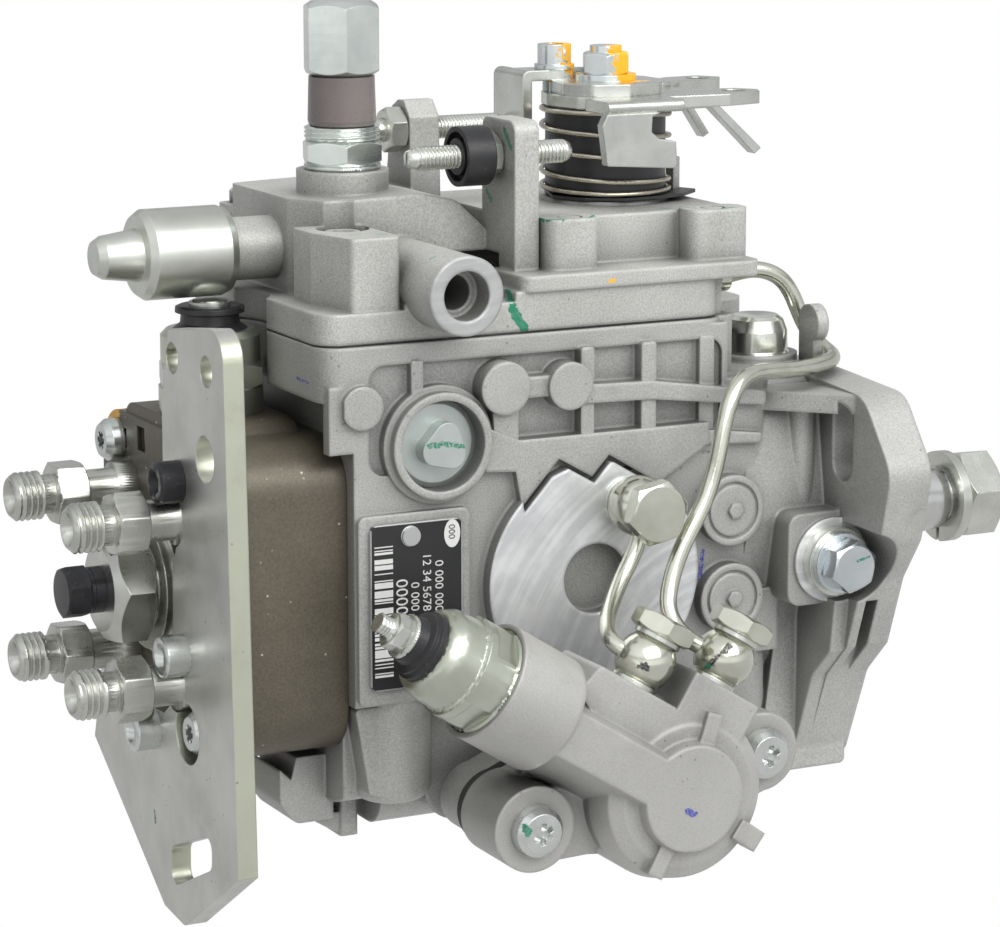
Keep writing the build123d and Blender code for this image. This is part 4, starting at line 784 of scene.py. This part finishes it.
turn_heights = (109.3, 109.0, 103.6, 98.2, 92.2, 89.1, 89.05)
first_turn, last_turn = 0.62, 5.45
bpy.ops.curve.primitive_nurbs_path_add(location=(0, 0, 0))
coil = bpy.context.object
coil.name = "return_spring_turns"
coil.data.splines.clear()
line = coil.data.splines.new("NURBS")
steps_per_turn = 24
count = int(steps_per_turn * (last_turn - first_turn)) + 1
line.points.add(count - 1)
for index in range(count):
    share = first_turn + index / steps_per_turn
    lower = min(int(share), len(turn_heights) - 2)
    rest = share - lower
    height = turn_heights[lower] * (1 - rest) + turn_heights[lower + 1] * rest
    angle = spring_start_angle + 2 * pi * (share - 1)
    place = (lever_x + spring_radius * cos(angle), spring_radius * sin(angle), height)
    line.points[index].co = (*scaled_point(place), 1)
line.use_endpoint_u = True
line.order_u = 4
coil.data.bevel_depth = wire_radius * MM
coil.data.bevel_resolution = 3
coil.data.use_fill_caps = True
bpy.ops.object.convert(target="MESH")
bake_place()
settle(coil, "lever_return_spring", "pump", "wire")

# Plain generic numbers on the label, read from the top down
printed = bpy.data.materials.new("label_print")
printed.use_nodes = True
print_tree = printed.node_tree
print_surface = print_tree.nodes["Principled BSDF"]
print_place = print_tree.nodes.new("ShaderNodeTexCoord").outputs["Object"]
worn_ink = mapped(print_tree, noise_at(print_tree, print_place, 900.0, 2.0), 0.3, 0.7)
join(print_tree, blend_colours(print_tree, worn_ink, (0.60, 0.60, 0.58, 1), (0.78, 0.78, 0.76, 1)),
     print_surface.inputs["Base Color"])
join(print_tree, mapped(print_tree, worn_ink, 0.0, 1.0, 0.5, 0.4), print_surface.inputs["Roughness"])
black_print = printed.copy()
black_print.name = "badge_print"
black_ink = black_print.node_tree.nodes["Principled BSDF"].inputs["Base Color"]
black_ink.default_value = (0.02, 0.02, 0.02, 1)
black_print.node_tree.links.remove(black_ink.links[0])


def label_number(name, digits, size, x, z, ink):
    """Raised number on the label, its first digit at the top."""
    bpy.ops.object.select_all(action="DESELECT")
    bpy.ops.object.text_add(location=(0, 0, 0))
    number = bpy.context.object
    number.name = name
    number.data.body = digits
    number.data.size = size * MM
    number.data.extrude = 0.00002
    number.data.resolution_u = 3
    bpy.ops.object.convert(target="MESH")
    number.location = scaled_point((x, label_face_y, z))
    number.rotation_euler = (pi / 2, radians(90), 0)
    bake_place()
    number.data.materials.clear()
    number.data.materials.append(ink)
    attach(number, "pump")


label_number("label_row_one", "0 000 000 001", size=3.1, x=-120.2, z=9.1, ink=printed)
label_number("label_row_two", "12 34 5678", size=3.1, x=-123.4, z=11.1, ink=printed)
label_number("label_row_three", "000001", size=4.4, x=-130.4, z=5.5, ink=printed)
label_number("label_row_four", "0 000", size=3.1, x=-126.5, z=4.4, ink=printed)
label_number("label_badge_number", "000", size=2.4, x=-116.6, z=17.4, ink=black_print)

# Threads of the union under its sleeve and of the cold start solenoid's terminal
union = node_copy("top_union", "threaded_top_union")
groove = thread_cutter(
    (union_x, 0.0, 108.6), length=4.4, radius=9.2, pitch=1.0, depth=0.45, lean=pi / 2)
cut_away(union, groove)
settle(union, "top_union", "pump", "zinc_upright")

terminals = node_copy("solenoid_terminals", "threaded_terminals")
groove = thread_cutter(
    tilted(-91.0, solenoid_y, solenoid_z), length=4.6, radius=2.4, pitch=0.8, depth=0.38, steps=16,
    lean=timing_tilt)
cut_away(terminals, groove)
settle(terminals, "solenoid_terminals", "pump", "terminal", sharp_angle=20)

# Wrench flats milled into the band of the cold start solenoid
can = node_copy("cold_start_solenoid", "flatted_cold_start_solenoid")
for facing in (radians(52), radians(-52)):
    bpy.ops.mesh.primitive_cube_add(size=1.0)
    block = bpy.context.object
    bpy.ops.transform.resize(value=(5.8 * MM, 14.0 * MM, flat_block_height * MM))
    bake_place()
    axis_point = tilted(band_x, solenoid_y, solenoid_z)
    lean_over = Matrix.Rotation(timing_tilt, 4, "Y") @ Matrix.Rotation(pi / 2 - facing, 4, "X")
    outward = Matrix.Translation((0.0, 0.0, (flat_distance + flat_block_height / 2) * MM))
    block.matrix_world = Matrix.Translation(scaled_point(axis_point)) @ lean_over @ outward
    choose_only(block)
    bake_place()
    cut_away(can, block)
settle(can, "cold_start_solenoid", "pump", "can", sharp_angle=13)

# The upper screw of the bracket is black, the other two are plated
plate_screws = node_copy("bracket_screws", "bracket_screw_set")
settle(plate_screws, "bracket_screws", "pump", "screws")
plate_screws.data.materials.append(looks["black_steel"])
for face in plate_screws.data.polygons:
    if face.center.z > 0.015:
        face.material_index = 1

# Floor, light and camera; seen from below, the floor is clear
bpy.ops.mesh.primitive_plane_add(size=8.0, location=scaled_point((0.0, 0.0, floor_z)))
floor = bpy.context.object
floor.name = "floor"
floor_material, floor_tree, floor_surface = start_material("pale_floor")[:3]
floor_surface.inputs["Base Color"].default_value = (0.8, 0.8, 0.8, 1)
floor_surface.inputs["Roughness"].default_value = 0.9
path = floor_tree.nodes.new("ShaderNodeLightPath")
white = add(floor_tree, "Emission", inputs={"Color": (1, 1, 1, 1)})
camera_ray = path.outputs["Is Camera Ray"]
seen_or_mirrored = maths(floor_tree, "MAXIMUM", camera_ray, path.outputs["Is Glossy Ray"])
join(floor_tree, mapped(floor_tree, camera_ray, 0.0, 1.0, 0.62, 1.0), white.inputs["Strength"])
choose = mix_shaders(floor_tree, seen_or_mirrored, floor_surface.outputs[0], white.outputs[0])
clear = floor_tree.nodes.new("ShaderNodeBsdfTransparent")
side = floor_tree.nodes.new("ShaderNodeNewGeometry")
one_sided = mix_shaders(floor_tree, side.outputs["Backfacing"], choose, clear.outputs[0])
floor_output = next(node for node in floor_tree.nodes if node.type == "OUTPUT_MATERIAL")
join(floor_tree, one_sided, floor_output.inputs["Surface"])
floor.data.materials.append(floor_material)

world = bpy.data.worlds.new("studio")
bpy.context.scene.world = world
world.use_nodes = True
sky = world.node_tree
sky.nodes.clear()
sky_out = sky.nodes.new("ShaderNodeOutputWorld")
seen = add(sky, "Background", inputs={"Color": (1, 1, 1, 1), "Strength": 1.0})
lit = add(sky, "Background", inputs={"Color": (0.96, 0.98, 1.0, 1), "Strength": 0.25})
mirrored = add(sky, "Background", inputs={"Color": (0.97, 0.985, 1.0, 1)})
rays = sky.nodes.new("ShaderNodeLightPath")
heading = sky.nodes.new("ShaderNodeTexCoord").outputs["Generated"]
front = mapped(sky, vectors(sky, "DOT_PRODUCT", heading, (-0.48, -0.85, 0.2)), -0.3, 0.85, 0.6, 1.15)
level = add(sky, "SeparateXYZ")
join(sky, heading, level.inputs[0])
from_band = maths(sky, "ABSOLUTE", maths(sky, "SUBTRACT", level.outputs["Z"], 0.33))
band = mapped(sky, from_band, 0.03, 0.12, 0.55, 1.0)
join(sky, maths(sky, "MULTIPLY", front, band), mirrored.inputs["Strength"])
unseen = mix_shaders(sky, rays.outputs["Is Glossy Ray"], lit.outputs[0], mirrored.outputs[0])
join(sky, mix_shaders(sky, rays.outputs["Is Camera Ray"], unseen, seen.outputs[0]), sky_out.inputs[0])


def area_light(name, place, target, size, power, mirrored=False):
    data = bpy.data.lights.new(name, "AREA")
    data.shape = "RECTANGLE"
    data.size = size[0]
    data.size_y = size[1]
    data.energy = power
    lamp = bpy.data.objects.new(name, data)
    lamp.location = place
    lamp.rotation_euler = (Vector(target) - Vector(place)).to_track_quat("-Z", "Y").to_euler()
    lamp.visible_glossy = mirrored
    bpy.context.scene.collection.objects.link(lamp)


middle = (-0.07, 0.0, 0.02)
area_light("key", (0.02, -1.15, 0.95), middle, (1.5, 1.0), 15.6, mirrored=True)
area_light("top", (0.0, 0.1, 1.2), middle, (1.2, 0.9), 13.0)
area_light("right", (0.9, -0.55, 0.35), middle, (0.5, 0.9), 4.0)
area_light("low_front", (-0.2, -1.1, -0.1), middle, (1.1, 0.3), 2.2)

camera_data = bpy.data.cameras.new("camera")
camera_data.sensor_width = 36.0
camera_data.lens = 129.6
camera_data.clip_start = 0.05
camera_data.clip_end = 30.0
camera = bpy.data.objects.new("camera", camera_data)
camera.location = (-0.4814, -0.7914, 0.1986)
camera.rotation_euler = (radians(78.672), 0.0, radians(-26.863))
bpy.context.scene.collection.objects.link(camera)
bpy.context.scene.camera = camera
bpy.context.scene.view_settings.view_transform = "Standard"
